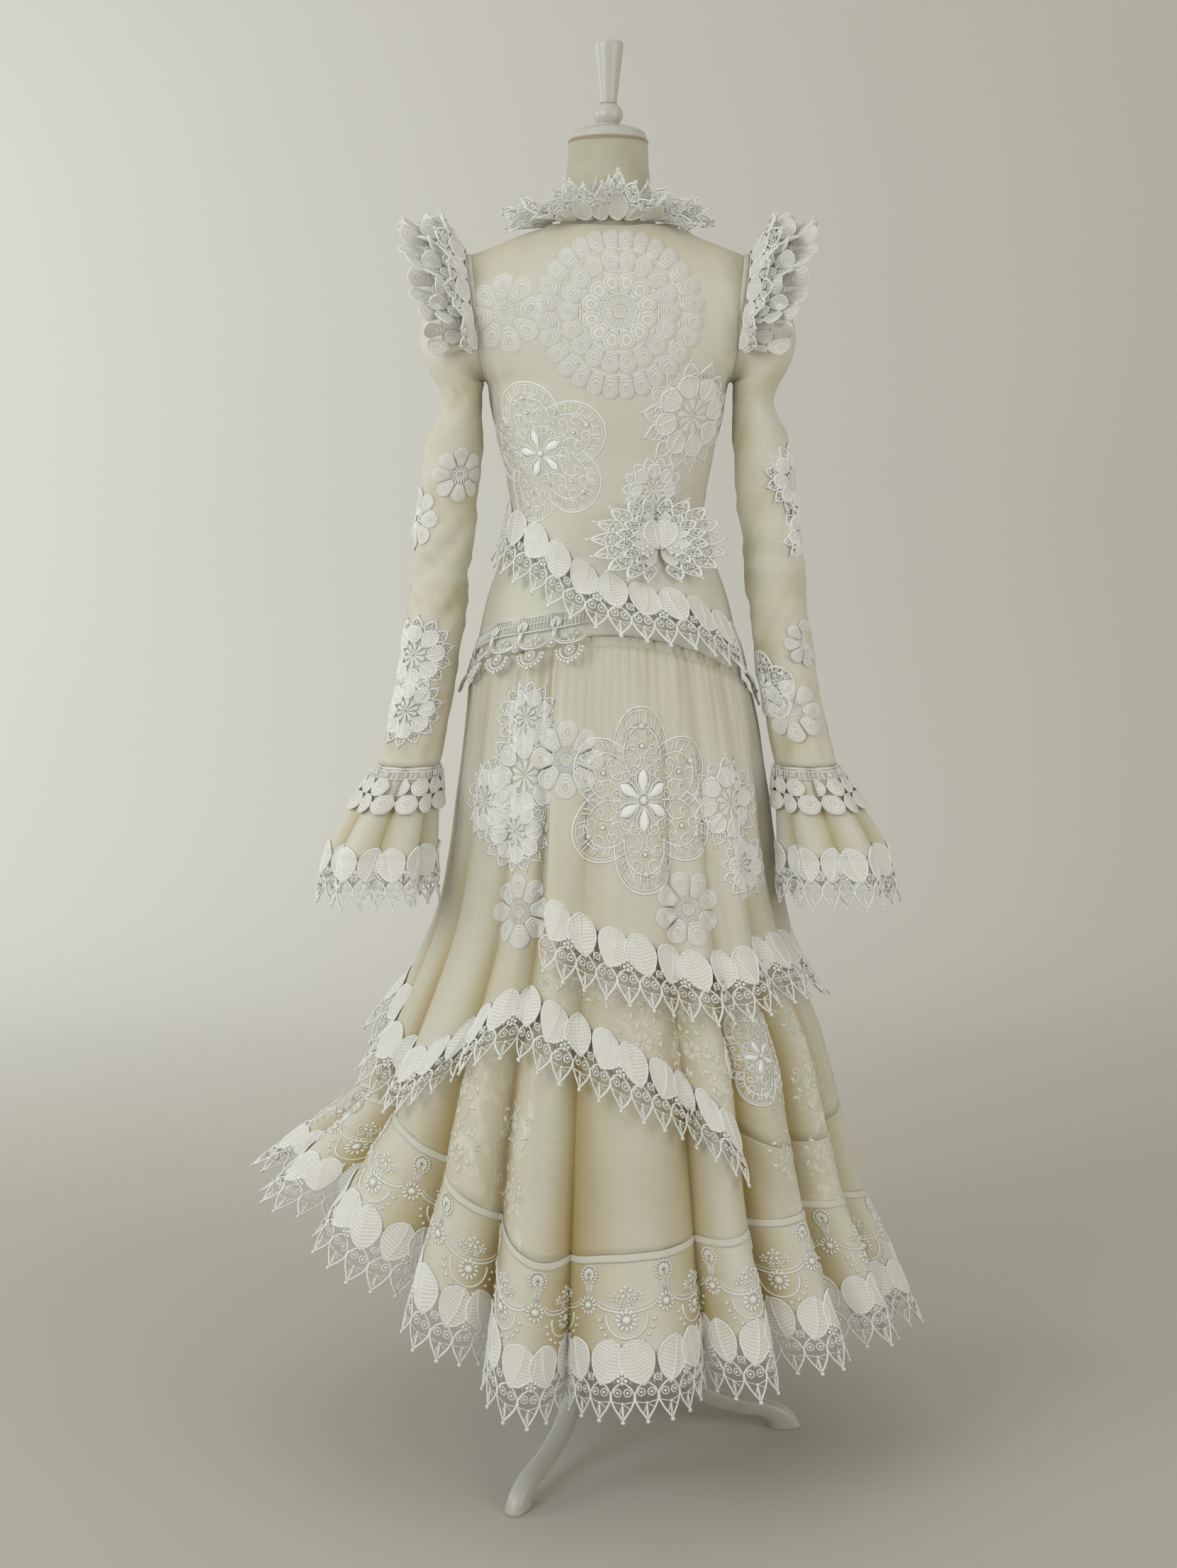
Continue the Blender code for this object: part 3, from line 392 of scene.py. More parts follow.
def shell(grid, thick, fold, closed=False):
    # A closed cloth wall: the grid moved half its thickness out and in along the normals, with rims
    # joining the two along each open edge. Rows run down and columns towards +X across the back.
    rows, columns = grid.shape[:2]
    half = normalsOf(grid, closed) * thick / 2
    at = np.concatenate([(grid + half).reshape(-1, 3), (grid - half).reshape(-1, 3)])
    quad = gridFaces(rows, columns, closed)
    edges = np.concatenate([quad[:, [k, (k + 1) % 4]] for k in range(4)])
    key = edges[:, 0] * rows * columns + edges[:, 1]
    back = edges[:, 1] * rows * columns + edges[:, 0]
    open_ = edges[~np.isin(key, back)]
    inside = rows * columns
    rim = np.stack([open_[:, 1], open_[:, 0], inside + open_[:, 0], inside + open_[:, 1]], axis=1)
    quads = np.concatenate([quad, inside + quad[:, ::-1], rim])
    # The sheet's own coordinates in metres: across along each row's middle, down along each column
    width = np.linalg.norm(np.diff(grid, axis=1), axis=2)
    width = np.concatenate([np.zeros((rows, 1)), np.cumsum(width, axis=1)], axis=1)
    length = np.linalg.norm(np.diff(grid, axis=0), axis=2)
    length = np.concatenate([np.zeros((1, columns)), np.cumsum(length, axis=0)], axis=0)
    across = np.broadcast_to(width.mean(axis=0), (rows, columns))
    uv = np.stack([across, length.mean(axis=1)[:, None] + 0 * across], axis=-1).reshape(-1, 2)
    # fold: the painted shade at each point, kept for the material
    fold = np.broadcast_to(fold, (rows, columns)).ravel()
    return cleaned({"at": at, "quads": quads, "tris": noTris, "uv": np.concatenate([uv, uv]),
                    "fold": np.concatenate([fold, fold])})


def cleaned(shape):
    # The same shape without points that no face uses
    used = np.zeros(len(shape["at"]), bool)
    used[shape["quads"].ravel()] = True
    used[shape["tris"].ravel()] = True
    number = np.cumsum(used) - 1
    return {"at": shape["at"][used], "uv": shape["uv"][used], "fold": shape["fold"][used],
            "quads": number[shape["quads"]], "tris": number[shape["tris"]]}


def joined(shapes):
    # Several shapes as one: face numbers move on by the points that come before them
    starts = np.cumsum([0] + [len(shape["at"]) for shape in shapes[:-1]])
    return {"at": np.concatenate([shape["at"] for shape in shapes]),
            "uv": np.concatenate([shape["uv"] for shape in shapes]),
            "fold": np.concatenate([shape["fold"] for shape in shapes]),
            "quads": np.concatenate([shape["quads"] + start for shape, start in zip(shapes, starts)]),
            "tris": np.concatenate([shape["tris"] + start for shape, start in zip(shapes, starts)])}


def turnedShape(profile, sides=64):
    # A turned solid: pairs of radius and height carried round the pole's axis, closed top and bottom
    profile = np.array(profile, float)
    angle = np.arange(sides) * math.tau / sides
    at = np.stack([profile[:, :1] * np.cos(angle), profile[:, :1] * np.sin(angle),
                   np.repeat(profile[:, 1:], sides, axis=1)], axis=-1).reshape(-1, 3)
    side = np.arange(sides)
    after = (side + 1) % sides
    last = (len(profile) - 1) * sides
    low = np.stack([np.full(sides, len(at)), after, side], axis=1)
    high = np.stack([np.full(sides, len(at) + 1), last + side, last + after], axis=1)
    at = np.concatenate([at, [[0, 0, profile[0, 1]], [0, 0, profile[-1, 1]]]])
    return {"at": at, "quads": gridFaces(len(profile), sides, True, True),
            "tris": np.concatenate([low, high]), "uv": at[:, [0, 2]], "fold": np.zeros(len(at))}


# Curves through tables, and the garment's surfaces
def smooth(places, values, where):
    # The table's value at each place, along cubics that pass through its rows
    places, values = np.asarray(places, float), np.asarray(values, float)
    slopes = np.gradient(values, places)
    where = np.clip(np.asarray(where, float), places[0], places[-1])
    row = np.clip(np.searchsorted(places, where, side="right") - 1, 0, len(places) - 2)
    step = places[row + 1] - places[row]
    t = (where - places[row]) / step
    start = (1 + 2 * t) * (1 - t) ** 2 * values[row] + t * (1 - t) ** 2 * step * slopes[row]
    end = t * t * (3 - 2 * t) * values[row + 1] + t * t * (t - 1) * step * slopes[row + 1]
    return start + end


def smoothRound(places, values, turn):
    # The same for a table that closes on itself after a whole turn in degrees
    places = np.asarray(places, float)
    longer = np.concatenate([places - 360, places, places + 360])
    return smooth(longer, np.tile(values, 3), (np.asarray(turn) + 180) % 360 - 180)


def ripple(a, b, seed):
    # A slow uneven wave over two coordinates: a sum of three sines whose steps don't divide each other
    return (np.sin(a * 1.0 + 2.3 * np.sin(b * 0.7 + seed) + seed)
            + 0.6 * np.sin(a * 2.17 - b * 1.3 + seed * 2.1)
            + 0.4 * np.sin(a * 3.71 + b * 2.9 + seed * 0.7)) / 2.0


def nearTo(value, middle, spread):
    # 1 at the middle, falling off to both sides as a bell curve
    return np.exp(-(((value - middle) / spread) ** 2))


def paired(first, second):
    # Two coordinates as arrays of one shape
    return np.broadcast_arrays(np.asarray(first, float), np.asarray(second, float))


def sideOf(angle):
    # -1 for the directions that point back from the pole, and 1 for those that point to the front
    return np.where(np.cos(angle) > 0, -1, 1)


def lookUp(table, key, height):
    # One of a table's rows at each height
    return smooth(table["height"], table[key], height)


body = {
    "height": (0.950, 1.000, 1.060, 1.120, 1.180, 1.240, 1.300, 1.350, 1.395, 1.435, 1.470),
    "wide": (0.172, 0.172, 0.165, 0.152, 0.132, 0.1215, 0.131, 0.143, 0.150, 0.156, 0.161),
    "back": (0.128, 0.127, 0.122, 0.112, 0.098, 0.090, 0.094, 0.102, 0.107, 0.107, 0.104),
    "front": (0.118, 0.117, 0.112, 0.105, 0.096, 0.094, 0.112, 0.134, 0.142, 0.130, 0.110),
    "armpit": 1.395, "armLevel": 1.470, "armDepth": 0.056,
    "shoulderTip": (0.172, 1.545), "neckPoint": (0.064, 1.583), "nape": (0.056, 1.577),
    "throat": (0.052, 1.545), "neckShare": 0.5,
    "edgeSide": 1.012, "edgeBack": 0.074, "edgeFront": 0.050,
    "cloth": 0.0014, "crease": 0.0011,
}


def bodyPoint(side, across, height):
    # A half ellipse at each height, its edges drawn back round the armhole above the armpit.
    # across runs from -1 at the left side to 1 at the right, side is -1 for the back.
    wide = lookUp(body, "wide", height)
    deep = lookUp(body, "back" if side < 0 else "front", height)
    above = np.clip((body["armLevel"] - height) / (body["armLevel"] - body["armpit"]), 0, 1)
    edge = np.where(height > body["armpit"], body["armDepth"] * np.sqrt(1 - above**2), 0.0)
    turn = across * math.pi / 2
    return np.stack([wide * np.sin(turn), side * (deep * np.cos(turn) + edge * (1 - np.cos(turn)) ** 1.5),
                     height + 0 * across], axis=-1)


def shoulderPoint(side, across):
    # The seam over the shoulders and round the neck: a quarter ellipse, then a straight slope
    beyond = np.clip((abs(across) - body["neckShare"]) / (1 - body["neckShare"]), 0, 1)
    roundNeck = np.clip(abs(across) / body["neckShare"], 0, 1) * math.pi / 2
    neckDeep, neckHeight = body["nape"] if side < 0 else body["throat"]
    neckX, neckZ = body["neckPoint"]
    tipX, tipZ = body["shoulderTip"]
    inNeck = abs(across) < body["neckShare"]
    x = np.where(inNeck, neckX * np.sin(roundNeck), neckX + beyond * (tipX - neckX))
    z = np.where(inNeck, neckZ + (neckHeight - neckZ) * np.cos(roundNeck) ** 2,
                 neckZ + beyond * (tipZ - neckZ))
    return np.stack([np.sign(across) * x, side * neckDeep * np.cos(roundNeck), z], axis=-1)


def panelPoint(side, across, height):
    # A bodice panel: the body up to the arm's level, then a quarter arc over to the shoulder seam
    across, height = paired(across, height)
    last = bodyPoint(side, across, np.minimum(height, body["armLevel"]))
    seam = shoulderPoint(side, across)
    top = body["armLevel"]
    rise = np.clip((height - top) / (seam[..., 2] - top), 0, 1)
    over = 1 - np.sqrt(np.maximum(1 - rise**2, 0))
    point = last + (seam - last) * over[..., None]
    point[..., 2] = np.where(height > top, top + (seam[..., 2] - top) * rise, height)
    return point


def bodiceEdge(turn, side):
    # Height of the bodice's lower edge: it arches over the hips as a power of the cosine
    rise = np.where(side < 0, body["edgeBack"], body["edgeFront"])
    return body["edgeSide"] + rise * np.abs(np.cos(turn)) ** 1.3


skirt = {
    "height": (0.33, 0.40, 0.48, 0.56, 0.64, 0.72, 0.80, 0.89, 0.98, 1.04, 1.10),
    "left": (0.375, 0.350, 0.325, 0.294, 0.254, 0.220, 0.203, 0.192, 0.181, 0.172, 0.159),
    "right": (0.345, 0.327, 0.306, 0.284, 0.248, 0.224, 0.207, 0.197, 0.184, 0.173, 0.159),
    "back": (0.300, 0.278, 0.262, 0.240, 0.214, 0.192, 0.174, 0.154, 0.138, 0.129, 0.119),
    "front": (0.285, 0.264, 0.244, 0.222, 0.198, 0.178, 0.162, 0.144, 0.129, 0.119, 0.109),
    "fold": (0.034, 0.029, 0.024, 0.018, 0.013, 0.010, 0.008, 0.007, 0.005, 0.004, 0.002),
    "valleys": (-164, -144, -124, -104, -83, -63, -40, -24, -8, 20.5, 34.5, 53, 70, 90, 110, 130, 152, 174),
    "power": 2.4, "eachFold": 22,
    "round": (-180, -135, -90, -52, -30, -11, 0, 20, 40, 60, 90, 135),
    "seam": (0.560, 0.620, 0.600, 0.560, 0.640, 0.622, 0.598, 0.545, 0.470, 0.455, 0.480, 0.520),
    "hem": (0.400, 0.440, 0.484, 0.477, 0.410, 0.345, 0.358, 0.364, 0.376, 0.374, 0.345, 0.375),
    "cloth": 0.0014, "gathers": 96, "gather": 0.0016, "soft": 0.0034,
}
flounce = {
    "long": 0.098, "laceLong": 0.090, "foldAdded": 0.040, "laceOut": 0.0016, "tuck": 0.016,
    "place": (-180, -135, -90, -60, -30, 0, 30, 60, 90, 135),
    "lean": (26, 34, 52, 42, 27, 25, 24, 24, 25, 25),
}


foldEdges = np.array(skirt["valleys"] + (skirt["valleys"][0] + 360,), float)


def foldShare(turn):
    # 0 on a fold's ridge and 1 in the valley on either side of it, as a power of the way between them
    turn = (np.asarray(turn, float) - foldEdges[0]) % 360 + foldEdges[0]
    lobe = np.clip(np.searchsorted(foldEdges, turn, side="right") - 1, 0, len(foldEdges) - 2)
    t = (turn - foldEdges[lobe]) / (foldEdges[lobe + 1] - foldEdges[lobe])
    return np.abs(2 * t - 1) ** skirt["power"]


def ringTurns(each):
    # The directions of a skirt's columns: so many to a fold, closer together in its valleys
    shares = np.arange(each) / each
    shares = shares - 0.055 * np.sin(2 * math.tau * shares) / 2
    return np.concatenate([a + shares * (b - a) for a, b in zip(foldEdges, foldEdges[1:])])


def gatherWave(angle):
    # Close gathers of uneven width round the skirt, between -1 and 1
    return np.sin(skirt["gathers"] * angle + 2.0 * np.sin(angle * 7))


def softFolds(turn, height):
    # Small uneven creases of the hanging cloth: fine under the gathers, wide and soft further down
    angle = np.radians(turn)
    fromTop = np.clip((bodiceEdge(angle, sideOf(angle)) - height) / 0.14, 0, 1)
    fine = skirt["gather"] * gatherWave(angle) * (1 - fromTop) ** 1.5
    mid = 0.0026 * ripple(angle * 23, height * 9.0, 1.3) * (1 - 0.5 * fromTop)
    wide = skirt["soft"] * ripple(angle * 11, height * 6.0, 0.4) * fromTop
    return fine + mid * np.clip(fromTop * 4, 0, 1) + wide


def skirtPoint(turn, height, out=0.0, soft=1.0):
    # The skirt: an ellipse of four half axes at each height, drawn in along the folds, plus creases
    turn, height = paired(turn, height)
    angle = np.radians(turn)
    sides = {key: lookUp(skirt, key, height) for key in ("left", "right", "back", "front", "fold")}
    wide = np.where(np.sin(angle) < 0, sides["left"], sides["right"])
    deep = np.where(np.cos(angle) > 0, sides["back"], sides["front"])
    deeper = 1 + 0.28 * np.clip((0.70 - height) / 0.15, 0, 1)
    inwards = sides["fold"] * deeper * foldShare(turn) - out - soft * (softFolds(turn, height) - 0.0012)
    return np.stack([(wide - inwards) * np.sin(angle), -(deep - inwards) * np.cos(angle), height], axis=-1)


def flouncePoint(turn, down, out=0.0):
    # The hem flounce leans out from its seam and folds deeper on its way down
    turn, down = paired(turn, down)
    seam = smoothRound(skirt["round"], skirt["hem"], turn)
    lean = np.radians(smoothRound(flounce["place"], flounce["lean"], turn))
    share = down / (flounce["long"] + flounce["laceLong"])
    start = skirtPoint(turn, seam, 0.0, 0.6)
    angle = np.radians(turn)
    crease = 0.0022 * share * ripple(angle * 31, share * 2.0, 2.2)
    away = down * np.sin(lean) - flounce["foldAdded"] * share * foldShare(turn) + crease + out * np.cos(lean)
    drop = down * np.cos(lean) - out * np.sin(lean)
    return start + np.stack([away * np.sin(angle), -away * np.cos(angle), -drop], axis=-1)


def trunkPoint(turn, height, out):
    # A point outside both the bodice and the skirt's ridges: the larger half axes of the two low down
    turn, height = paired(turn, height)
    angle = np.radians(turn)
    side = sideOf(angle)
    wide = lookUp(body, "wide", height)
    deep = np.where(side < 0, lookUp(body, "back", height), lookUp(body, "front", height))
    sideways = np.where(np.sin(angle) < 0, lookUp(skirt, "left", height), lookUp(skirt, "right", height))
    behind = np.where(side < 0, lookUp(skirt, "back", height), lookUp(skirt, "front", height))
    low = np.clip((bodiceEdge(angle, side) + 0.012 - height) / 0.010, 0, 1)
    wide = wide + (np.maximum(wide, sideways) - wide) * low + out
    deep = deep + (np.maximum(deep, behind) - deep) * low + out
    return np.stack([wide * np.sin(angle), -deep * np.cos(angle), height], axis=-1)


over = {
    "from": -20.5, "to": 104.0, "liftTop": 0.0044, "liftBottom": 0.0088, "raised": 0.0016, "below": 0.012,
    "place": (-21, -5, 11, 23, 37, 52, 80, 105),
    "height": (0.767, 0.737, 0.718, 0.699, 0.692, 0.700, 0.690, 0.660),
}


def overTop(turn):
    # The overskirt starts a little below the bodice's edge
    angle = np.radians(turn)
    return bodiceEdge(angle, sideOf(angle)) - over["below"]


def overPoint(turn, height, out=0.0):
    # The overskirt hangs over the skirt, a little further off it towards its lower edge
    turn, height = paired(turn, height)
    top, edge = overTop(turn), smooth(over["place"], over["height"], turn)
    share = np.clip((top - height) / (top - edge), 0, 1)
    lift = over["liftTop"] + (over["liftBottom"] - over["liftTop"]) * np.minimum(1, share * 1.6)
    return skirtPoint(turn, height, lift + over["raised"] * np.clip(share * 7, 0, 1) + out)


arm = {
    "pivot": (0.151, 1.388), "turn": (32, 60, 90), "near": (0.007, 0.007, 0.005),
    "far": (0.128, 0.094, 0.060), "deepTop": (0.0545, 0.052, 0.048),
    "height": (1.320, 1.180, 1.070, 0.990, 0.920), "out": (0.192, 0.208, 0.221, 0.235, 0.250),
    "nearY": (0.000, -0.008, -0.020, -0.034, -0.046), "wide": (0.0345, 0.036, 0.036, 0.036, 0.038),
    "deep": (0.045, 0.043, 0.042, 0.041, 0.041), "cloth": 0.0014, "sides": 56, "rows": 84,
    "elbow": (0.33, 0.09), "wristSpread": 0.10, "cord": 0.0038, "motifOut": 0.0016,
}


def armRings():
    # Each ring's centre, the tilt of its plane and its two half axes, from the armhole to the wrist
    inX = body["wide"][8]
    tipX, tipZ = body["shoulderTip"]
    lean = math.atan2(tipX - inX, tipZ - body["armpit"])
    tall = math.hypot(tipX - inX, tipZ - body["armpit"]) / 2
    rings = [((tipX + inX) / 2 + 0.0017, 0.0, body["armLevel"], lean, tall, body["armDepth"])]
    for turn, near, far, deep in zip(arm["turn"], arm["near"], arm["far"], arm["deepTop"]):
        turn = math.radians(turn)
        mid = (near + far) / 2
        rings.append((arm["pivot"][0] + math.sin(turn) * mid, 0.0, arm["pivot"][1] + math.cos(turn) * mid,
                      turn, (far - near) / 2, deep))
    levels = zip(arm["height"], arm["out"], arm["nearY"], arm["wide"], arm["deep"])
    for height, out, nearY, wide, deep in levels:
        rings.append((out, nearY, height, math.pi / 2, wide, deep))
    return np.array(rings)


armTable = armRings()
armWay = runAlong(armTable[:, :3])
armLong = armWay[-1]


def sleevePoint(side, turn, down, out=0.0):
    # The sleeve: an ellipse in a plane that turns from the armhole's slant to level. turn is in degrees
    # round it, 0 outermost and -90 at the back; down is in metres along it, with creases at the elbow.
    turn, down = paired(turn, down)
    x, y, z, lean, tall, deep = (smooth(armWay, armTable[:, k], down) for k in range(6))
    angle = np.radians(turn)
    elbow = nearTo(down, *arm["elbow"])
    wrist = nearTo(down, armLong, arm["wristSpread"])
    rough = 0.0016 + 0.0022 * elbow
    crease = rough * ripple(down * 62 + 1.6 * np.sin(angle + side), angle * 2.0, 0.6 + side)
    crease = crease * np.clip(down / 0.05, 0, 1) * (1 - 0.6 * wrist) + 0.0012 * wrist * np.sin(angle * 9)
    crease = crease * np.clip((armLong - down) / 0.012, 0, 1)
    tall, deep = tall + out + crease, deep + out + crease
    return np.stack([side * (x + np.sin(lean) * tall * np.cos(angle)), y + deep * np.sin(angle),
                     z + np.cos(lean) * tall * np.cos(angle)], axis=-1)


cuff = {
    "height": (0.9194, 0.870, 0.812, 0.782, 0.750), "out": (0.250, 0.266, 0.284, 0.288, 0.291),
    "nearY": (-0.046, -0.056, -0.067, -0.071, -0.075), "wide": (0.038, 0.053, 0.070, 0.075, 0.078),
    "deep": (0.041, 0.054, 0.068, 0.073, 0.077), "fold": (0.002, 0.010, 0.018, 0.020, 0.022),
    "folds": 6, "clothEnd": 0.812, "frillLong": 0.054, "frillLean": 0.10, "frillOut": 0.0024,
    "laceLong": 0.062, "laceOut": 0.0016, "cloth": 0.0014,
}


def cuffFold(turn):
    # 0 on a fold's ridge and 1 in the valley on either side of it, as a power of the way between them
    return np.abs(2 * ((turn * cuff["folds"] / 360) % 1.0) - 1) ** 1.7


def cuffPoint(side, turn, height, out=0.0):
    # The cuff: a flared ellipse drawn in along its folds, the turn in degrees round from its back
    turn, height = paired(turn, height)
    at = {key: smooth(cuff["height"][::-1], cuff[key][::-1], height)
          for key in ("out", "nearY", "wide", "deep", "fold")}
    own = turn if side > 0 else -turn
    angle = np.radians(own)
    inwards = at["fold"] * cuffFold(own) - out
    return np.stack([side * (at["out"] + (at["wide"] - inwards) * np.sin(angle)),
                     at["nearY"] - (at["deep"] - inwards) * np.cos(angle), height], axis=-1)


# Lace shapes. Each is drawn flat in metres: p across, q up and h off the cloth it lies on.
thread = {"thick": 0.0026, "cord": 0.0020, "fine": 0.0014, "high": 0.0014, "groove": 0.75}


def cord(path, wide, high=thread["high"], closed=False):
    # A cord along a path: at each point a three-cornered section with its flat side down
    path = np.asarray(path, float)
    tangent = unitOf(np.roll(path, -1, 0) - np.roll(path, 1, 0) if closed else np.gradient(path, axis=0))
    side = np.stack([-tangent[:, 1], tangent[:, 0]], axis=1) * wide / 2
    count = len(path)
    at = np.zeros((count, 3, 3))
    at[:, 0, :2], at[:, 1, :2], at[:, 2, :2] = path - side, path, path + side
    at[:, 1, 2] = high
    i = np.arange(count if closed else count - 1)
    j = (i + 1) % count
    quads = np.concatenate([np.stack([i * 3 + k, j * 3 + k, j * 3 + (k + 1) % 3, i * 3 + (k + 1) % 3], axis=1)
                            for k in range(3)])
    last = (count - 1) * 3
    tris = noTris if closed else np.array([[0, 1, 2], [last + 2, last + 1, last]])
    run = runAlong(path)
    uv = np.stack([np.tile([0, wide / 2, wide], count), np.repeat(run, 3)], axis=1)
    return {"at": at.reshape(-1, 3), "quads": quads, "tris": tris, "uv": uv, "fold": np.zeros(count * 3)}


def relief(outline, rings, centre=None):
    # A raised pad inside a closed outline: rings of it shrink to the centre, each with its own height.
    # The lower a ring lies between its neighbours, the more of the groove's shade it takes.
    outline = np.asarray(outline, float)
    centre = outline.mean(axis=0) if centre is None else np.asarray(centre, float)
    rings = np.array(rings, float)
    count, levels = len(outline), len(rings) - 1
    flat = centre + (outline - centre) * (1 - rings[:-1, 0])[:, None, None]
    at = np.concatenate([flat, np.broadcast_to(rings[:-1, 1][:, None, None], (levels, count, 1))], axis=2)
    at = np.concatenate([at.reshape(-1, 3), [[*centre, rings[-1, 1]], [*centre, 0]]])
    i = np.arange(count)
    j = (i + 1) % count
    top, bottom = np.full(count, levels * count), np.full(count, levels * count + 1)
    tris = np.concatenate([np.stack([(levels - 1) * count + i, (levels - 1) * count + j, top], axis=1),
                           np.stack([j, i, bottom], axis=1)])
    run = runAlong(outline)
    around = np.concatenate([np.tile(run, levels), [0, 0]])
    depth = thread["groove"] * (1 - rings[:, 1] / rings[:, 1].max()).clip(0, 1) ** 0.8
    depth[0] = 0.25 * thread["groove"]
    shade = np.concatenate([np.repeat(depth[:-1], count), [depth[-1], depth[-1]]])
    return {"at": at, "quads": gridFaces(levels, count, True, True), "tris": tris,
            "uv": np.stack([at[:, 2], around], axis=1), "fold": shade}


def satin(first, second, high):
    # Satin stitch between two lines, the second on the first's left: an arch that is flat at both ends
    first, second = np.asarray(first, float), np.asarray(second, float)
    count, across = len(first), 4
    share = np.arange(across) / (across - 1)
    flat = first[:, None] + (second - first)[:, None] * share[:, None]
    ends = np.sin(np.linspace(0, math.pi, count)) ** 0.45
    rise = high * np.sqrt(np.sin(share * math.pi).clip(0)) * ends[:, None]
    at = np.concatenate([flat, rise[..., None]], axis=2).reshape(-1, 3)
    i = np.arange(count - 1) * across
    under = np.stack([i + across - 1, i + 2 * across - 1, i + across, i], axis=1)
    run = runAlong((first + second) / 2)
    uv = np.stack([np.tile(share, count) * 0.004, np.repeat(run, across)], axis=1)
    return {"at": at, "quads": np.concatenate([gridFaces(count, across), under]), "tris": noTris,
            "uv": uv, "fold": np.zeros(len(at))}


def moved(shape, p=0.0, q=0.0, turn=0.0, flip=False, lift=0.0):
    # The shape turned by degrees, mirrored across p if asked, shifted and lifted
    at = shape["at"]
    quads, tris = shape["quads"], shape["tris"]
    if flip:
        at = at * (-1, 1, 1)
        quads, tris = quads[:, ::-1], tris[:, ::-1]
    angle = math.radians(turn)
    x = at[:, 0] * math.cos(angle) - at[:, 1] * math.sin(angle) + p
    y = at[:, 0] * math.sin(angle) + at[:, 1] * math.cos(angle) + q
    return {**shape, "at": np.stack([x, y, at[:, 2] + lift], axis=1), "quads": quads, "tris": tris}


def aroundCentre(shape, count, radius=0.0, first=0.0):
    # Copies of a shape that points up, spread evenly round a centre
    return joined([moved(moved(shape, 0, radius), turn=first + 360 * k / count) for k in range(count)])


def circle(radius, count, p=0.0, q=0.0):
    # Points evenly round a circle
    angle = np.arange(count) * math.tau / count
    return np.stack([p + radius * np.cos(angle), q + radius * np.sin(angle)], axis=1)


def arc(radius, start, end, count, p=0.0, q=0.0, flat=1.0):
    # Points along a circle from one direction to another in degrees, their height times flat
    angle = np.radians(np.linspace(start, end, count))
    return np.stack([p + radius * np.cos(angle), q + radius * flat * np.sin(angle)], axis=1)


def bead(p, q, radius, high=None, sides=6):
    # A small dome, 1.3 radii high unless a height is asked
    high = radius * 1.3 if high is None else high
    return relief(circle(radius, sides, p, q), [(0, 0), (0.16, high * 0.66), (1, high)])


def ringCord(p, q, radius, wide, count=9):
    # A cord that closes round a circle
    return cord(circle(radius, count, p, q), wide, closed=True)


def drop(long, wide, count, broad):
    # A teardrop outline that stands on its point: width is a sine, widest at the broad share of its height
    angle = np.arange(count) * math.tau / count
    up = (1 - np.cos(angle)) / 2
    swell = np.sin(np.pi * up ** (math.log(0.5) / math.log(broad))).clip(0) ** 0.72
    return np.stack([np.sign(np.sin(angle)) * wide / 2 * swell, long * up], axis=1)


nested = [(0, 0), (0.05, 1.0), (0.20, 0.25), (0.30, 0.95), (0.44, 0.22), (0.55, 0.9), (0.74, 0.25), (1, 0.75)]
nestedFew = [(0, 0), (0.08, 1.0), (0.32, 0.2), (0.48, 0.95), (0.76, 0.25), (1, 0.8)]


def tongue(long, wide, base, count):
    # A petal's outline with a half-round end and straight sides that narrow to its base
    angle = np.linspace(0, math.pi, count)
    end = np.stack([wide / 2 * np.cos(angle), long - wide / 2 + wide / 2 * np.sin(angle)], axis=1)
    return np.concatenate([[[wide / 2 * base, 0]], end, [[-wide / 2 * base, 0]]])


def petal(long, wide, high, base, rings=nested, count=9):
    # A petal of cords that lie inside one another
    return relief(tongue(long, wide, base, count), [(share, height * high) for share, height in rings],
                  (0, long - wide * 0.52))


def ribbed(first, second, high):
    # Satin ribs between two lines of points, the second on the first's left: every second point of the
    # lines is a groove. The underside has points of its own, so that the shading stays level.
    first, second = np.asarray(first, float), np.asarray(second, float)
    count = len(first)
    share = np.array([0.0, 0.5, 1.0])
    flat = first[:, None] + (second - first)[:, None] * share[:, None]
    rib = np.where(np.arange(count) % 2 == 0, 1.0, 0.66)[:, None]
    rise = high * np.array([0.90, 1.0, 0.92]) * rib
    top = np.concatenate([flat, rise[..., None]], axis=2).reshape(-1, 3)
    low = np.concatenate([flat[:, [2, 0]], np.full((count, 2, 1), high * 0.3)], axis=2).reshape(-1, 3)
    i = np.arange(count - 1)
    under = 3 * count + np.stack([i * 2, (i + 1) * 2, (i + 1) * 2 + 1, i * 2 + 1], axis=1)
    run = runAlong((first + second) / 2)
    uv = np.concatenate([np.stack([np.tile(share, count) * 0.004, np.repeat(run, 3)], axis=1),
                         np.stack([np.tile([0.004, 0], count), np.repeat(run, 2)], axis=1)])
    # Painted shade: the whole leaf a little darker, and the grooves between the ribs much darker
    paintedShade = 0.16 + (1 - rib[:, 0]) * 1.1
    return {"at": np.concatenate([top, low]), "quads": np.concatenate([gridFaces(count, 3), under]),
            "tris": noTris, "uv": uv, "fold": np.concatenate([np.repeat(paintedShade, 3), np.repeat(paintedShade, 2)])}


def leaf(long, wide, high=0.0014, ribs=12):
    # A bud-shaped leaf that stands on its point: satin ribs slant up from a curved vein to the outline
    t = np.linspace(0, 1, 2 * ribs + 1) ** 0.92
    outer = t**0.80
    half = wide / 2 * np.sin(math.pi * outer**1.25).clip(0) ** 0.60
    vein = np.stack([0.10 * wide * np.sin(t * math.pi) * (1 - 0.3 * t), t * long], axis=1)
    right = np.stack([half, outer * long], axis=1)
    left = np.stack([-half, outer * long], axis=1)
    outline = np.concatenate([right[::2], left[::-2][1:-1]])
    return joined([ribbed(right, vein, high), ribbed(vein, left, high),
                   cord(vein[::3], 0.0021, high * 1.7), cord(outline, 0.0027, high * 1.7, closed=True)])


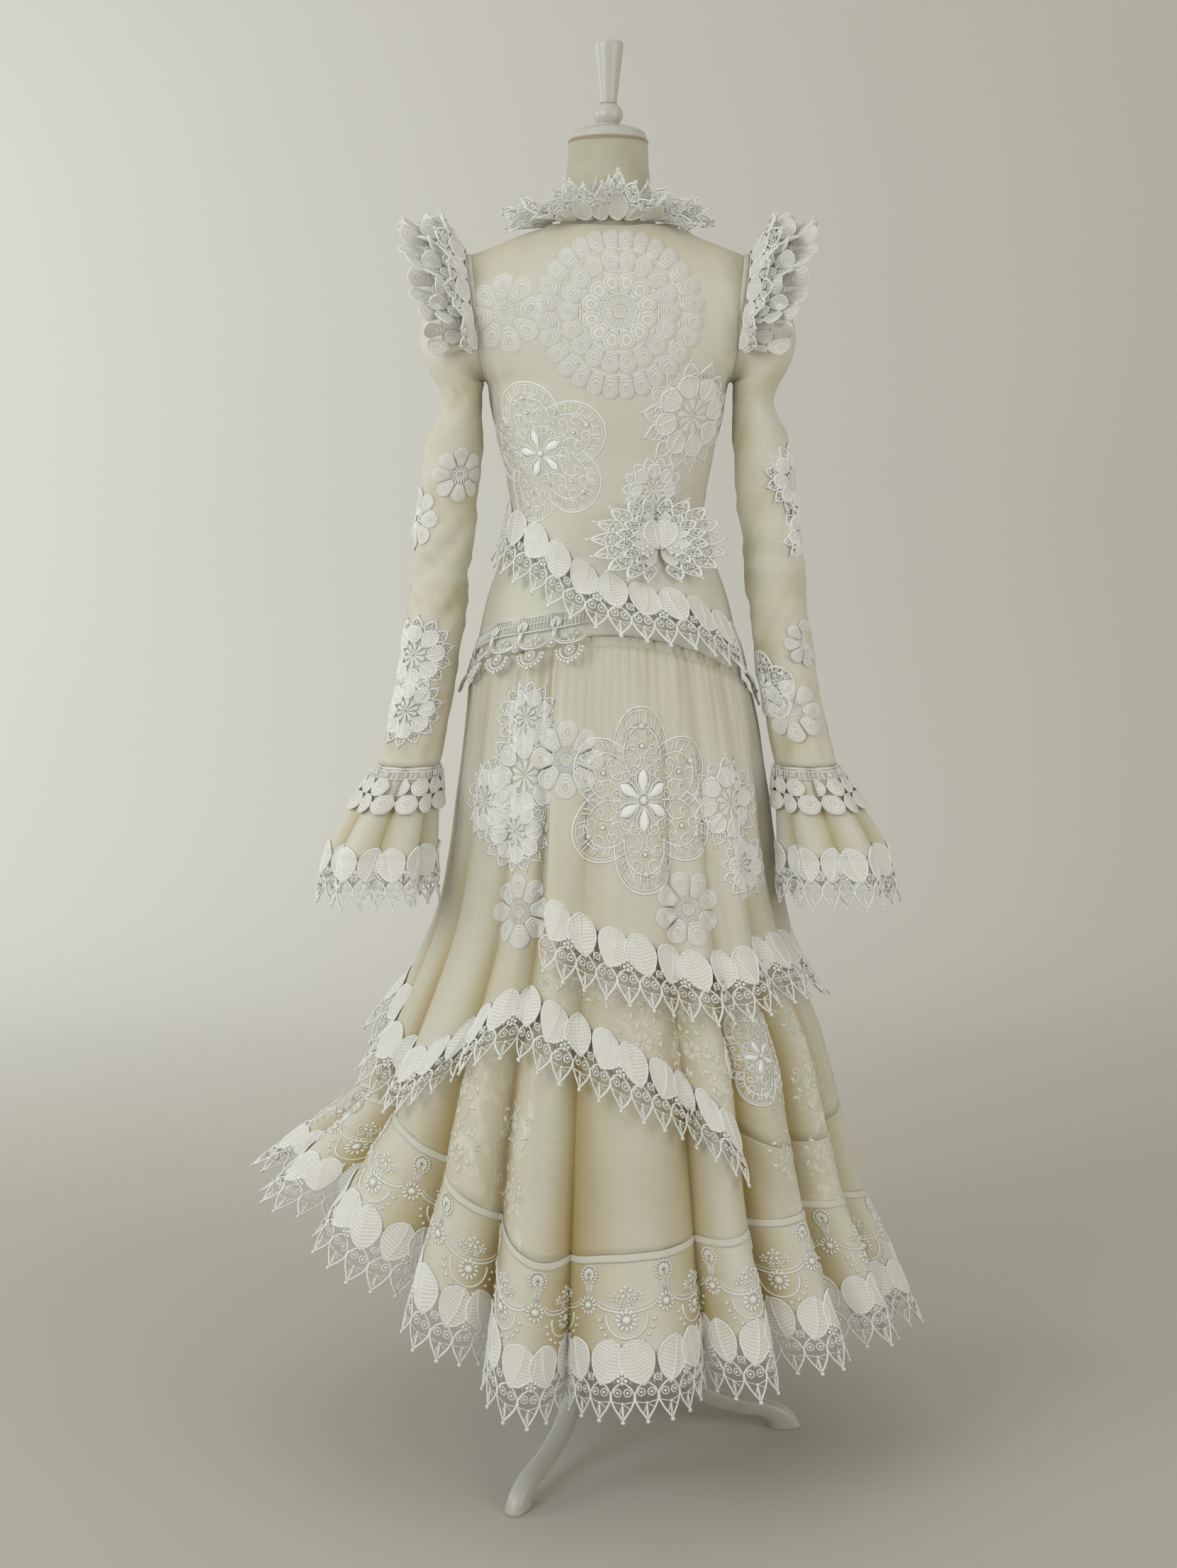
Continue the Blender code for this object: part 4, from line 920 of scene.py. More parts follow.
def fan(long, wide, spokes=7):
    # A hanging teardrop: two ringed balls in its upper half, spokes from a ball below them to the
    # outline, and a ball at its tip
    outline = drop(long, wide, 16, 0.62) - (0, long)
    heart = np.array([0, -long * 0.56])
    made = [cord(outline, thread["thick"], 0.0018, closed=True), bead(*heart, wide * 0.075),
            bead(0, -long - 0.0020, wide * 0.095, sides=7)]
    for hand in (-1, 1):
        made += [ringCord(hand * wide * 0.21, -long * 0.27, wide * 0.155, 0.0019, 8),
                 bead(hand * wide * 0.21, -long * 0.27, wide * 0.07)]
    low = outline[outline[:, 1] < -long * 0.40]
    ends = low[np.round(np.linspace(0, len(low) - 1, spokes)).astype(int)]
    made += [cord([heart, end], thread["fine"], 0.0010) for end in ends]
    return joined(made)


def blossom(radius, petals=6, open_=0.26):
    # A small flower: bead-like petals round an open ring
    one = relief(drop(radius * 0.74, radius * 0.66, 7, 0.6), [(0, 0), (0.25, 0.0015), (1, 0.0019)],
                 (0, radius * 0.4))
    return joined([aroundCentre(one, petals, radius * open_),
                   ringCord(0, 0, radius * open_ * 0.9, 0.0016, 8)])


def leafUnit(wide, long):
    # One repeat of leaf lace: two leaves that lean together, a flower between them, bars, and three fans
    leafWide = wide * 0.52
    one = moved(moved(leaf(long * 0.54, leafWide), turn=-17), -wide * 0.32, -long * 0.585)
    made = [one, moved(one, flip=True, lift=0.0004)]
    flower = min(0.0078, wide * 0.10)
    fanWide, fanLong, row = wide / 3, long * 0.43, -long * 0.545
    made += [moved(fan(fanLong, fanWide), p, row) for p in (-wide / 3, 0, wide / 3)]
    made += [moved(blossom(flower), 0, -long * 0.50, lift=0.0012),
             bead(0, -long * 0.50, flower * 0.2, 0.0024)]
    for k in range(9):
        p = wide * (k - 4) / 9
        made.append(cord([(p, -long * 0.42), (p * 1.01, row - long * 0.02)], thread["fine"], 0.0010))
    edge = wide / 2
    made += [ringCord(-edge * 0.99, -long * 0.50, wide * 0.045, thread["cord"], 8),
             bead(-edge * 0.99, -long * 0.50, wide * 0.02)]
    return joined(made)


def band(wide, bars, first, last, rows):
    # Upright bars between two heights, spread over a repeat's width, and level cords at the rows
    made = []
    for k in range(bars):
        p = wide * ((k + 0.5) / bars - 0.5)
        made.append(cord([(p, first), (p, last)], thread["fine"], 0.0010))
    for q in rows:
        made.append(cord([(-wide / 2, q), (0, q), (wide / 2, q)], thread["cord"], 0.0014))
    return made


def petalUnit(wide, long):
    # One repeat of petal lace: two rows of petals made of nested cords, under blossoms, bars and cords
    petals, bars, top = 2, 8, -long * 0.24
    outer = moved(petal(long * 0.42, wide / petals, 0.0017, 0.55), turn=180)
    inner = moved(petal(long * 0.38, wide / petals * 0.98, 0.0016, 0.5), turn=180)
    made = [moved(outer, wide * ((k + 0.5) / petals - 0.5), -long * 0.58) for k in range(petals)]
    made += [moved(inner, wide * (k / petals - 0.5), top, lift=0.0010) for k in range(petals)]
    made += [moved(blossom(wide * 0.07), wide * (k / petals - 0.5), -long * 0.15, lift=0.0008)
             for k in range(petals)]
    return joined(made + band(wide, bars, top - long * 0.04, top * 0.30, (-0.0012, top * 0.36, top)))


def scroll(p, q, radius, turn, hand):
    # A spiral that winds in to an eye: 1.35 rounds while its radius falls to 0.28 of the first
    t = np.linspace(0, 1, 12)
    angle = math.radians(turn) + hand * t * 1.35 * math.tau
    r = radius * (1 - 0.72 * t)
    return cord(np.stack([p + r * np.cos(angle), q + r * np.sin(angle)], axis=1), 0.0021, 0.0015)


def daisy(radius):
    # A flat daisy: nested petals round a ring of small loops with an open eye
    petals, loops = 8, 16
    one = petal(radius * 0.66, math.tau * radius * 0.70 / petals, 0.0016, 0.42, nested, 11)
    loop = cord(drop(radius * 0.22, radius * 0.085, 7, 0.6), 0.0014, 0.0012, closed=True)
    return joined([aroundCentre(one, petals, radius * 0.34), aroundCentre(loop, loops, radius * 0.15),
                   ringCord(0, 0, radius * 0.14, 0.0021, 14)])


def doily(radius):
    # A round doily: three rings of petals, barred between, round a ring of loops and an open eye
    made = []
    for count, start, end, base, rings in ((28, 0.735, 1.0, 0.66, nested), (18, 0.47, 0.71, 0.56, nested),
                                           (12, 0.21, 0.445, 0.46, nestedFew)):
        long = radius * (end - start)
        wide = math.tau * (radius * end - radius * 0.13 * (end - start)) / count
        wide = min(wide * 0.95, long * 0.95)
        made.append(aroundCentre(petal(long, wide, 0.0019, base, rings), count, radius * start, 180 / count))
        bar = cord([(0, radius * (start - 0.035)), (0, radius * (start + 0.03))], thread["fine"], 0.0012)
        made.append(aroundCentre(bar, count * 2))
        made.append(cord(circle(radius * (start - 0.012), 48), 0.0019, 0.0016, closed=True))
    loop = cord(drop(radius * 0.13, radius * 0.045, 7, 0.6), 0.0013, 0.0012, closed=True)
    made += [aroundCentre(loop, 16, radius * 0.07), ringCord(0, 0, radius * 0.065, 0.0020, 12)]
    return joined(made)


def ladderLobe(radius, wide):
    # A lobe of a scalloped flower: a U of three cords joined by bars, with scrolls and a ring inside
    t = np.linspace(0, math.pi, 22)
    rims = []
    for share in (1.0, 0.94, 0.68):
        up = radius * 0.44 + radius * 0.56 * share * np.sin(t) ** 0.75 - radius * (1 - share) * 0.1
        rims.append(np.stack([wide / 2 * share * -np.cos(t), up], axis=1))
    made = [cord(rims[0], thread["thick"], 0.0018), cord(rims[1], 0.0015, 0.0014),
            cord(rims[2], 0.0022, 0.0016)]
    for k in np.round(np.linspace(1, 20, 13)).astype(int):
        made.append(cord([rims[2][k], rims[1][k]], 0.0019, 0.0013))
    for hand in (1, -1):
        side = hand * wide
        inner = arc(wide * 0.16, 90, 90 + hand * 150, 8, side * 0.19, radius * 0.44)
        made += [scroll(side * 0.15, radius * 0.70, radius * 0.095, 90 - hand * 60, hand),
                 scroll(side * 0.20, radius * 0.53, radius * 0.07, 90 + hand * 80, -hand),
                 cord(inner, 0.0020, 0.0014),
                 cord([(side * 0.31, radius * 0.62), (side * 0.20, radius * 0.80), (0, radius * 0.86)],
                      0.0016, 0.0013)]
    made += [ringCord(0, radius * 0.58, radius * 0.05, 0.0018), bead(0, radius * 0.58, radius * 0.03),
             bead(0, radius * 0.79, radius * 0.035)]
    return joined(made)


def scallopFlower(radius, lobes, stretch=1.0):
    # A large open flower: ladder-edged lobes round a small satin flower held by curved bars
    side = drop(radius * 0.27, radius * 0.16, 14, 0.6)[:8]
    heart = satin(side, side * (-1, 1), 0.0018)
    rim = cord(drop(radius * 0.29, radius * 0.18, 12, 0.6), 0.0020, 0.0018, closed=True)
    lobe = ladderLobe(radius, math.tau * radius * 0.70 / lobes)
    half = 180 / lobes
    made = [aroundCentre(lobe, lobes), aroundCentre(heart, lobes, radius * 0.07),
            aroundCentre(rim, lobes, radius * 0.06), bead(0, 0, radius * 0.055, 0.0028, 8),
            ringCord(0, 0, radius * 0.075, 0.0018, 12),
            aroundCentre(cord([(0, radius * 0.22), (0, radius * 0.48)], 0.0018, 0.0013), lobes, 0, half),
            aroundCentre(ringCord(0, 0, radius * 0.05, 0.0018, 8), lobes, radius * 0.45, half),
            aroundCentre(scroll(0, 0, radius * 0.075, 200, -1), lobes, radius * 0.33, half + 9),
            aroundCentre(scroll(0, 0, radius * 0.075, -20, 1), lobes, radius * 0.33, half - 9),
            aroundCentre(cord(arc(radius * 0.10, 20, 160, 7, 0, radius * 0.36), 0.0018, 0.0013), lobes)]
    whole = joined(made)
    return {**whole, "at": whole["at"] * (1, stretch, 1)}


def leafRound(radius):
    # A leafy round: ribbed leaves round a star flower of slim petals, and pointed fans outside them
    leaves, petals = 8, 10
    big = moved(leaf(radius * 0.46, radius * 0.40, 0.0017, 8), turn=12)
    slim = petal(radius * 0.27, radius * 0.12, 0.0019, 0.3, [(0, 0), (0.2, 0.9), (0.6, 0.6), (1, 1.0)], 7)
    outer = moved(fan(radius * 0.36, radius * 0.30, 5), turn=180)
    return joined([aroundCentre(big, leaves, radius * 0.30), aroundCentre(slim, petals, radius * 0.05),
                   ringCord(0, 0, radius * 0.055, 0.0018, 10),
                   aroundCentre(outer, leaves * 2 - 2, radius * 0.62),
                   aroundCentre(blossom(radius * 0.085), leaves, radius * 0.62, 180 / leaves)])


def festoonUnit(wide, long):
    # Embroidery on the flounce: a fan drop above a daisy at each side, a loop between them with
    # blossoms in it, and a lower loop that holds a button daisy and ends in picots
    def smallDaisy(radius):
        # Twelve petals round a button
        one = relief(drop(radius * 0.60, radius * 0.34, 6, 0.6), [(0, 0), (0.25, 0.0015), (1, 0.0019)],
                     (0, radius * 0.34))
        return joined([aroundCentre(one, 12, radius * 0.42), bead(0, 0, radius * 0.40, 0.0034, 8)])

    def fanDrop(radius):
        # Eleven rays, with a dot past each end and between them
        one = relief(drop(radius, radius * 0.40, 6, 0.7), [(0, 0), (0.25, 0.0014), (1, 0.0018)],
                     (0, radius * 0.6))
        rays = joined([moved(one, turn=a) for a in np.linspace(-140, 140, 11)])
        dots = joined([bead(radius * 1.18 * math.sin(a), radius * 1.18 * math.cos(a), 0.0019)
                       for a in np.radians(np.linspace(-145, 145, 15))])
        return joined([rays, dots])

    made = []
    top, mid, low, edge = -long * 0.19, -long * 0.56, -long * 0.76, wide / 2
    made.append(moved(fanDrop(wide * 0.095), -edge, top))
    for k in (-1.5, -0.5, 0.5, 1.5):
        stalk = [(-edge + k * wide * 0.035, top - long * 0.09), (-edge + k * wide * 0.012, mid + long * 0.10)]
        made.append(cord(stalk, 0.0017, 0.0014))
    made.append(moved(smallDaisy(wide * 0.125), -edge, mid))
    made.append(cord(arc(wide * 0.39, 190, 350, 15, 0, mid + long * 0.06, 0.40), 0.0026, 0.0022))
    made.append(cord(arc(wide * 0.37, 190, 350, 15, 0, mid + long * 0.09, 0.38), 0.0016, 0.0016))
    flowers = ((0, 0.15, 0.085), (-0.14, 0.09, 0.06), (0.14, 0.10, 0.06), (-0.05, 0.02, 0.05),
               (0.06, 0.03, 0.05))
    for p, q, size in flowers:
        made.append(moved(blossom(wide * size, 5, 0.30), wide * p, mid + long * q))
    made.append(cord(arc(wide * 0.25, 172, 368, 17, 0, low + long * 0.05), 0.0025, 0.0020))
    made.append(moved(smallDaisy(wide * 0.14), 0, low + long * 0.02))
    for a in np.radians(np.linspace(185, 355, 11)):
        r = wide * (0.31 + 0.02 * (round(a * 7) % 2))
        made.append(bead(r * math.cos(a), low + long * 0.05 + r * math.sin(a), 0.0022))
    made.append(bead(0, low + long * 0.05 - wide * 0.36, 0.0024))
    return joined(made)


def scallopUnit(wide, long):
    # Festoon lace: swags with a button daisy in each, a barred band over them and beads along their edge
    rows = (-long * 0.02, -long * 0.16, -long * 0.31)
    return joined([festoonUnit(wide, long * 1.05)] + band(wide, 10, -long * 0.04, -long * 0.30, rows))


# Laying lace on the garment
def onto(surface, shape):
    # Lays a flat shape on a surface: each point goes to its place, then its height off along the normal,
    # the cross product of the surface's two directions there
    p, q, h = shape["at"].T
    step = 0.0008
    alongP = surface(p + step, q) - surface(p - step, q)
    alongQ = surface(p, q + step) - surface(p, q - step)
    return {**shape, "at": surface(p, q) + unitOf(np.cross(alongP, alongQ)) * h[:, None]}


def patch(point, a, b):
    # The surface round one place, in metres across and up: tables of the distance along its two
    # directions turn metres back into the surface's own coordinates
    lift = 0.0009
    turns = a + np.linspace(-75, 75, 301)
    levels = b + np.linspace(-0.17, 0.17, 171)
    runA = runAlong(point(turns, np.full(301, b), 0.0))
    runB = runAlong(point(np.full(171, a), levels, 0.0))
    midA, midB = runA[150], runB[85]
    return lambda p, q: point(np.interp(midA + p, runA, turns), np.interp(midB + q, runB, levels), lift)


def alongEdge(unit, count, pitch):
    # Repeats of a unit side by side, each a pitch further on
    return joined([moved(unit, (k + 0.5) * pitch) for k in range(count)])


def netUnit(size):
    # Net lace's woven figure: a nested flower, two small ones, leaves and winding stems
    flower = aroundCentre(petal(size * 0.15, size * 0.13, 0.0006, 0.4, nestedFew, 7), 6, size * 0.05)
    small = aroundCentre(petal(size * 0.075, size * 0.07, 0.0005, 0.4, nestedFew, 5), 5, size * 0.02)
    made = [moved(flower, -size * 0.06, size * 0.10), moved(small, size * 0.30, size * 0.33),
            moved(small, -size * 0.33, -size * 0.30)]
    plain = relief(drop(size * 0.17, size * 0.08, 8, 0.5), [(0, 0), (0.2, 0.0006), (1, 0.0008)])
    leaves = ((0.16, -0.10, -60), (0.24, -0.20, -110), (0.05, -0.26, 160), (-0.08, -0.30, 200),
              (-0.30, 0.02, 70), (-0.34, 0.18, 20), (0.34, 0.06, -20), (0.10, 0.38, 40), (-0.16, 0.40, -10))
    for p, q, turn in leaves:
        made.append(moved(plain, size * p, size * q, turn))
    t = np.linspace(0, 1, 12)
    stems = ((-0.46, -0.05, 0.50, 0.16, 20), (0.02, -0.42, 0.48, -0.14, 40), (-0.05, 0.28, 0.50, 0.12, -15))
    for p, q, wide, high, turn in stems:
        path = np.stack([t * wide, high * np.sin(t * math.pi * 1.6)], axis=1) * size
        made.append(moved(cord(path, 0.0016, 0.0007), size * p, size * q, turn))
    return joined(made)


def netFigures(surface, places):
    # Copies of the woven figure over a patch of cloth, each turned a little more than the one before
    unit = netUnit(0.062)
    return joined([onto(patch(surface, turn, height), moved(unit, turn=70 * k, flip=k % 2 == 1))
                   for k, (turn, height) in enumerate(places)])


# The form and its stand
form = {"inset": 0.0012, "hipInset": 0.016, "bottom": 0.950, "neckTop": 1.683, "neckRadius": 0.0485,
        "yokeBack": 0.0030, "yokeFront": 0.0062}


def formTorso():
    # The cloth's own surface drawn in, close at the chest and more at the hips, up to a turned neck
    across = np.linspace(-1, 1, 65)
    levels = np.linspace(form["bottom"], body["armLevel"], 46)
    halves = []
    for side in (-1, 1):
        rows = [bodyPoint(side, across, level) for level in levels]
        for turn in np.radians(np.linspace(8, 90, 12)):
            seam = shoulderPoint(side, across)
            point = rows[45] + (seam - rows[45]) * (1 - math.cos(turn))
            point[:, 2] = rows[45][:, 2] + (seam[:, 2] - rows[45][:, 2]) * math.sin(turn)
            rows.append(point)
        grid = np.array(rows)
        below = np.clip((1.200 - grid[..., 2]) / 0.170, 0, 1)
        inset = body["cloth"] / 2 + form["inset"] + form["hipInset"] * below * below * (3 - 2 * below)
        inset = inset + (grid[..., 2] > body["armLevel"]) * form["yokeBack" if side < 0 else "yokeFront"]
        wide = np.maximum(np.abs(grid[..., 0]), 1e-6)
        deep = np.maximum(np.abs(grid[..., 1]), 1e-6)
        grid[..., 0] *= np.maximum(wide - inset, 0) / wide
        grid[..., 1] *= np.maximum(deep - inset, 0) / deep
        over = grid[..., 2] > body["armLevel"]
        grid[..., 2] -= np.where(over, (grid[..., 2] - body["armLevel"]) / 0.11 * 0.0042, 0)
        halves.append(grid)
    back, front = halves
    front[-1, np.abs(across) >= 0.5] = back[-1, np.abs(across) >= 0.5]
    ring = np.concatenate([back, front[:, ::-1][:, 1:-1]], axis=1)
    # Above the last row the shoulders' points close on to the neck's sides, and the ring that is left
    # shrinks on to the neck's circle
    base = ring[-1].copy()
    beyond = np.abs(base[:, 0]) > body["neckPoint"][0]
    for hand in (-1, 1):
        inner = base[~beyond & (np.sign(base[:, 0]) == hand)]
        base[beyond & (np.sign(base[:, 0]) == hand)] = inner[np.abs(inner[:, 0]).argmax()]
    turn = np.arctan2(base[:, 0], -base[:, 1])
    rows = [*ring, base]
    neckLow = body["neckPoint"][1]
    for share, radius in ((0.10, 0.0590), (0.24, 0.0555), (0.45, 0.0522), (0.7, 0.0500),
                          (0.99, form["neckRadius"]), (1.0, form["neckRadius"] - 0.001)):
        height = np.full(len(turn), neckLow + share * (form["neckTop"] - neckLow))
        rows.append(np.stack([radius * np.sin(turn), -radius * np.cos(turn), height], axis=1))
    return np.array(rows[::-1])


def lidded(grid):
    # A closed solid from rings of points, top first, with a fan over each end
    rows, columns = grid.shape[:2]
    at = np.concatenate([grid.reshape(-1, 3), grid[0].mean(axis=0)[None], grid[-1].mean(axis=0)[None]])
    i = np.arange(columns)
    j = (i + 1) % columns
    total = rows * columns
    low = total - columns
    quads = gridFaces(rows, columns, True)
    tris = np.concatenate([np.stack([i, j, np.full(columns, total)], axis=1),
                           np.stack([low + j, low + i, np.full(columns, total + 1)], axis=1)])
    return {"at": at, "quads": quads, "tris": tris, "uv": at[:, [0, 2]], "fold": np.zeros(len(at))}


makePiece("formTorso", lidded(formTorso()), formCotton, ["form_torso"])

capBase = form["neckTop"] + 0.0003
woodPiece("neckCap", turnedShape(
    [(0.0455, capBase), (0.0475, capBase + 0.0015), (0.0480, capBase + 0.0035), (0.0465, capBase + 0.0060),
     (0.0458, capBase + 0.0066), (0.0452, capBase + 0.0095), (0.0400, capBase + 0.0128),
     (0.0330, capBase + 0.0150), (0.0262, capBase + 0.0166), (0.0255, capBase + 0.0170)]), "neck_cap")
tape = newMaterial("edgeTape", {"Base Color": (0.42, 0.27, 0.17, 1), "Roughness": 0.7})[0]
makePiece("neckTape", turnedShape(
    [(0.0470, capBase - 0.0026), (0.0494, capBase - 0.0023), (0.0494, capBase - 0.0008),
     (0.0474, capBase - 0.0004)]), tape)

ball = {"neck": 0.0150, "wide": 0.0182, "tall": 0.0155, "first": 32, "last": 148, "knobAt": 145}
ballBase = capBase + 0.0173
ballMiddle = ballBase + 0.0140
ballTurns = np.radians(np.linspace(ball["first"], ball["last"], 14))[1:]
woodPiece("finialBall", turnedShape(
    [(ball["neck"], ballBase)] + [(ball["wide"] * math.sin(t), ballMiddle - ball["tall"] * math.cos(t))
                                  for t in ballTurns]), "finial_ball")
knobBase = ballMiddle - ball["tall"] * math.cos(math.radians(ball["knobAt"])) + 0.0003
finialTop = 1.800
woodPiece("finialKnob", turnedShape(
    [(0.0102, knobBase), (0.0108, knobBase + 0.0015), (0.0112, knobBase + 0.006), (0.0126, knobBase + 0.018),
     (0.0145, knobBase + 0.034), (0.0168, finialTop - 0.020), (0.0183, finialTop - 0.008),
     (0.0187, finialTop - 0.003), (0.0182, finialTop - 0.0006), (0.0168, finialTop)]), "finial")
woodPiece("standPole", turnedShape(
    [(0.0119, 0.2003), (0.0125, 0.2012), (0.0125, 0.9488), (0.0119, 0.9497)], 48), "pole")

leg = {
    "reach": (0.0, 0.046, 0.070, 0.098, 0.128, 0.160, 0.190, 0.216, 0.236, 0.243),
    "height": (0.150, 0.143, 0.114, 0.079, 0.053, 0.038, 0.031, 0.026, 0.014, 0.000),
    "turn": (0, 30, 50, 47, 34, 20, 10, 24, 62, 90),
    "thick": (0.042, 0.038, 0.031, 0.028, 0.027, 0.026, 0.025, 0.025, 0.034, 0.044),
    "wide": (0.024, 0.024, 0.024, 0.024, 0.024, 0.023, 0.023, 0.024, 0.026, 0.027),
    "directions": (-27.5, 92.5, 212.5), "hubRadius": 0.0285, "hubSides": 12,
}


def legShape(direction):
    # A leg: rounded oblong sections along a double curve, the last one level on the floor
    direction = math.radians(direction)
    steps = np.linspace(0, 9, 46)
    at = {key: smooth(np.arange(10), leg[key], steps) for key in ("reach", "height", "turn", "thick", "wide")}
    turn = np.radians(at["turn"])
    outwards = np.array([math.sin(direction), -math.cos(direction), 0.0])
    sideways = np.array([math.cos(direction), math.sin(direction), 0.0])
    seat = leg["hubRadius"] * math.cos(math.pi / leg["hubSides"]) + 0.0004
    angle = np.arange(28) * math.tau / 28
    rim = np.stack([np.cos(angle), np.sin(angle)])
    boxy = np.abs(rim) ** 0.72 * np.sign(rim)
    across = outwards * np.sin(turn)[:, None] + upward * np.cos(turn)[:, None]
    centre = outwards * np.maximum(at["reach"], seat)[:, None]
    centre[:, 2] += at["height"]
    grid = (centre[:, None] + across[:, None] * (at["thick"] / 2)[:, None, None] * boxy[0][None, :, None]
            + sideways * (at["wide"] / 2)[:, None, None] * boxy[1][None, :, None])
    grid[..., 2] = np.maximum(grid[..., 2], 0)
    grid[-1, :, 2] = 0
    return lidded(grid)


for number, direction in enumerate(leg["directions"], 1):
    woodPiece(f"tripodLeg{number}", legShape(direction), f"tripod_leg_{number}")
frame["nodes"]["tripod_hub"].data.materials.clear()
frame["nodes"]["tripod_hub"].data.materials.append(paintedWood)
print("form and stand made")


# Bodice
bodice = {"columns": 76, "rows": 62, "yokeRows": 22, "waist": 1.235, "pull": 1.41, "hip": 1.12}


def bodiceCrease(side, across, height):
    # Soft drag lines: slanted towards the armholes above the waist, level ones at the waist
    angle = across * math.pi / 2
    waist = nearTo(height, bodice["waist"], 0.05)
    pull = nearTo(height, bodice["pull"], 0.075) * np.abs(across) ** 1.5
    level = ripple(height * 80 + across * 2.0 * side, angle * 2.3, 0.9 + side) * waist
    slant = ripple(angle * 8 + height * 42 * np.sign(across), height * 10, 2.0 + side)
    low = nearTo(height, bodice["hip"], 0.07) * ripple(angle * 10, height * 16, 0.3 + side)
    uneven = 0.8 * ripple(angle * 6, height * 22, side)
    return body["crease"] * (1.3 * level + 2.4 * slant * pull + uneven + 1.1 * low)


def bodicePoint(side, across, height, out=0.0):
    # The bodice's cloth: the panel, its creases, and the distance out along a level normal
    point = panelPoint(side, across, height)
    away = out + bodiceCrease(side, across, height)
    flat = np.stack([np.sin(across * math.pi / 2), side * np.cos(across * math.pi / 2), 0 * across], axis=-1)
    rise = np.clip((height - body["armLevel"]) / 0.11, 0, 1)
    up = flat * (1 - rise[..., None]) + upward * rise[..., None]
    return point + unitOf(up) * away[..., None]


def bodicePanel(side):
    # Rows run from the shoulder seam down to the arched lower edge
    across = np.linspace(-1, 1, bodice["columns"] + 1)
    edge = bodiceEdge(across * math.pi / 2, side)
    seam = shoulderPoint(side, across)[:, 2]
    top = body["armLevel"]
    rise = np.sin(np.linspace(math.pi / 2, 0, bodice["yokeRows"]))[:-1, None]
    heights = np.concatenate([top + (seam - top) * rise,
                              top + (edge - top) * np.linspace(0, 1, bodice["rows"])[:, None]])
    turns = np.broadcast_to(across, heights.shape)
    grid = bodicePoint(side, turns, heights)
    grid[..., 1] += side * 0.0004
    waist = nearTo(heights, bodice["waist"], 0.04)
    # Painted shade: darker towards the sides, over the shoulders above 1.50 m, and in a band along the
    # waist's drag lines
    paintedShade = 0.20 * np.abs(turns) ** 4 + 0.22 * np.clip((heights - 1.50) / 0.05, 0, 1) + 0.08 * waist
    if side > 0:
        grid, paintedShade = grid[:, ::-1], paintedShade[:, ::-1]
    return shell(grid, body["cloth"], fold=paintedShade)


bodicePiece = clothPiece("bodice", joined([bodicePanel(-1), bodicePanel(1)]), ["bodice_back", "bodice_front"])
print("bodice made")


def madeOf(piece, first, second, chosen):
    # Gives the faces that chosen(turn, height) picks the second material
    mesh = piece.data
    mesh.materials.clear()
    mesh.materials.append(first)
    mesh.materials.append(second)
    centre = np.zeros(len(mesh.polygons) * 3)
    mesh.polygons.foreach_get("center", centre)
    centre = centre.reshape(-1, 3) - axis
    turn = np.degrees(np.arctan2(centre[:, 0], -centre[:, 1] * 1.25))
    mesh.polygons.foreach_set("material_index", chosen(turn, centre[:, 2]).astype(np.int32))


# Skirt
def foldShade(turn, height):
    # Painted shade: deeper gold in the fold valleys and under the gathers at the top, more of it low down
    # where the cloth hangs clear of the form, and uneven
    low = np.clip((1.06 - height) / 0.50, 0.05, 1)
    angle = np.radians(turn)
    uneven = ripple(angle * 9, height * 7.0, 0.4) * 0.5 + 0.5
    gather = np.clip((height - 0.94) / 0.08, 0, 1) * (0.5 + 0.5 * gatherWave(angle))
    return 0.78 * foldShare(turn) ** 0.9 * low + 0.22 * uneven * low + 0.20 * gather + 0.03


skirtTurns = ringTurns(skirt["eachFold"])
skirtAngle = np.radians(skirtTurns)
skirtTop = bodiceEdge(skirtAngle, sideOf(skirtAngle)) - 0.0003
skirtSeam = smoothRound(skirt["round"], skirt["seam"], skirtTurns)
hemSeam = smoothRound(skirt["round"], skirt["hem"], skirtTurns)


def skirtShell(top, low, rows):
    # The skirt's cloth between two heights, its rows spread evenly
    heights = top + (low - top) * np.linspace(0, 1, rows)[:, None]
    return shell(skirtPoint(skirtTurns, heights), skirt["cloth"], foldShade(skirtTurns, heights), True)


def between(turn, *spans):
    # True where a direction lies in one of the spans
    return np.any([(turn > low) & (turn < high) for low, high in spans], axis=0)


skirtUpper = clothPiece("skirtUpper", skirtShell(skirtTop, skirtSeam + 0.0003, 39), ["skirt_upper"])
skirtLower = clothPiece("skirtLower", skirtShell(skirtSeam - 0.0003, hemSeam + 0.0003, 20), ["skirt_lower"])
madeOf(skirtLower, voile, netLace, lambda turn, height: between(turn, (-41, -17), (42, 64), (118, 142)))
madeOf(skirtUpper, voile, netLace,
       lambda turn, height: (height < 0.74) & between(turn, (-19, 33), (56, 74)))

overTurns = np.linspace(over["from"], over["to"], 191)
overEdge = smooth(over["place"], over["height"], overTurns)
overHeights = overTop(overTurns) + (overEdge - overTop(overTurns)) * np.linspace(0, 1, 35)[:, None]
# The overskirt takes the same painted fold shade at 0.7 of its strength
overShell = shell(overPoint(overTurns, overHeights), skirt["cloth"], foldShade(overTurns, overHeights) * 0.7)
overskirt = clothPiece("overskirtCloth", overShell, ["overskirt"])

flounceDowns = np.linspace(0.0005, flounce["long"] + flounce["tuck"], 17)[:, None]
# Painted shade: deeper gold in the flounce's fold valleys, a little more towards its edge
flounceShade = 1.05 * foldShare(skirtTurns) ** 0.75 * (0.75 + 0.25 * flounceDowns / flounce["long"]) + 0.02
bandDowns = np.linspace(-0.0035, 0.0055, 5)[:, None]
hemFlounce = clothPiece("hemFlounce", joined([
    shell(flouncePoint(skirtTurns, flounceDowns), skirt["cloth"], flounceShade, True),
    shell(flouncePoint(skirtTurns, bandDowns, flounce["laceOut"]), 0.0008, 0.0, True)]), ["hem_flounce"])
print("skirt made")

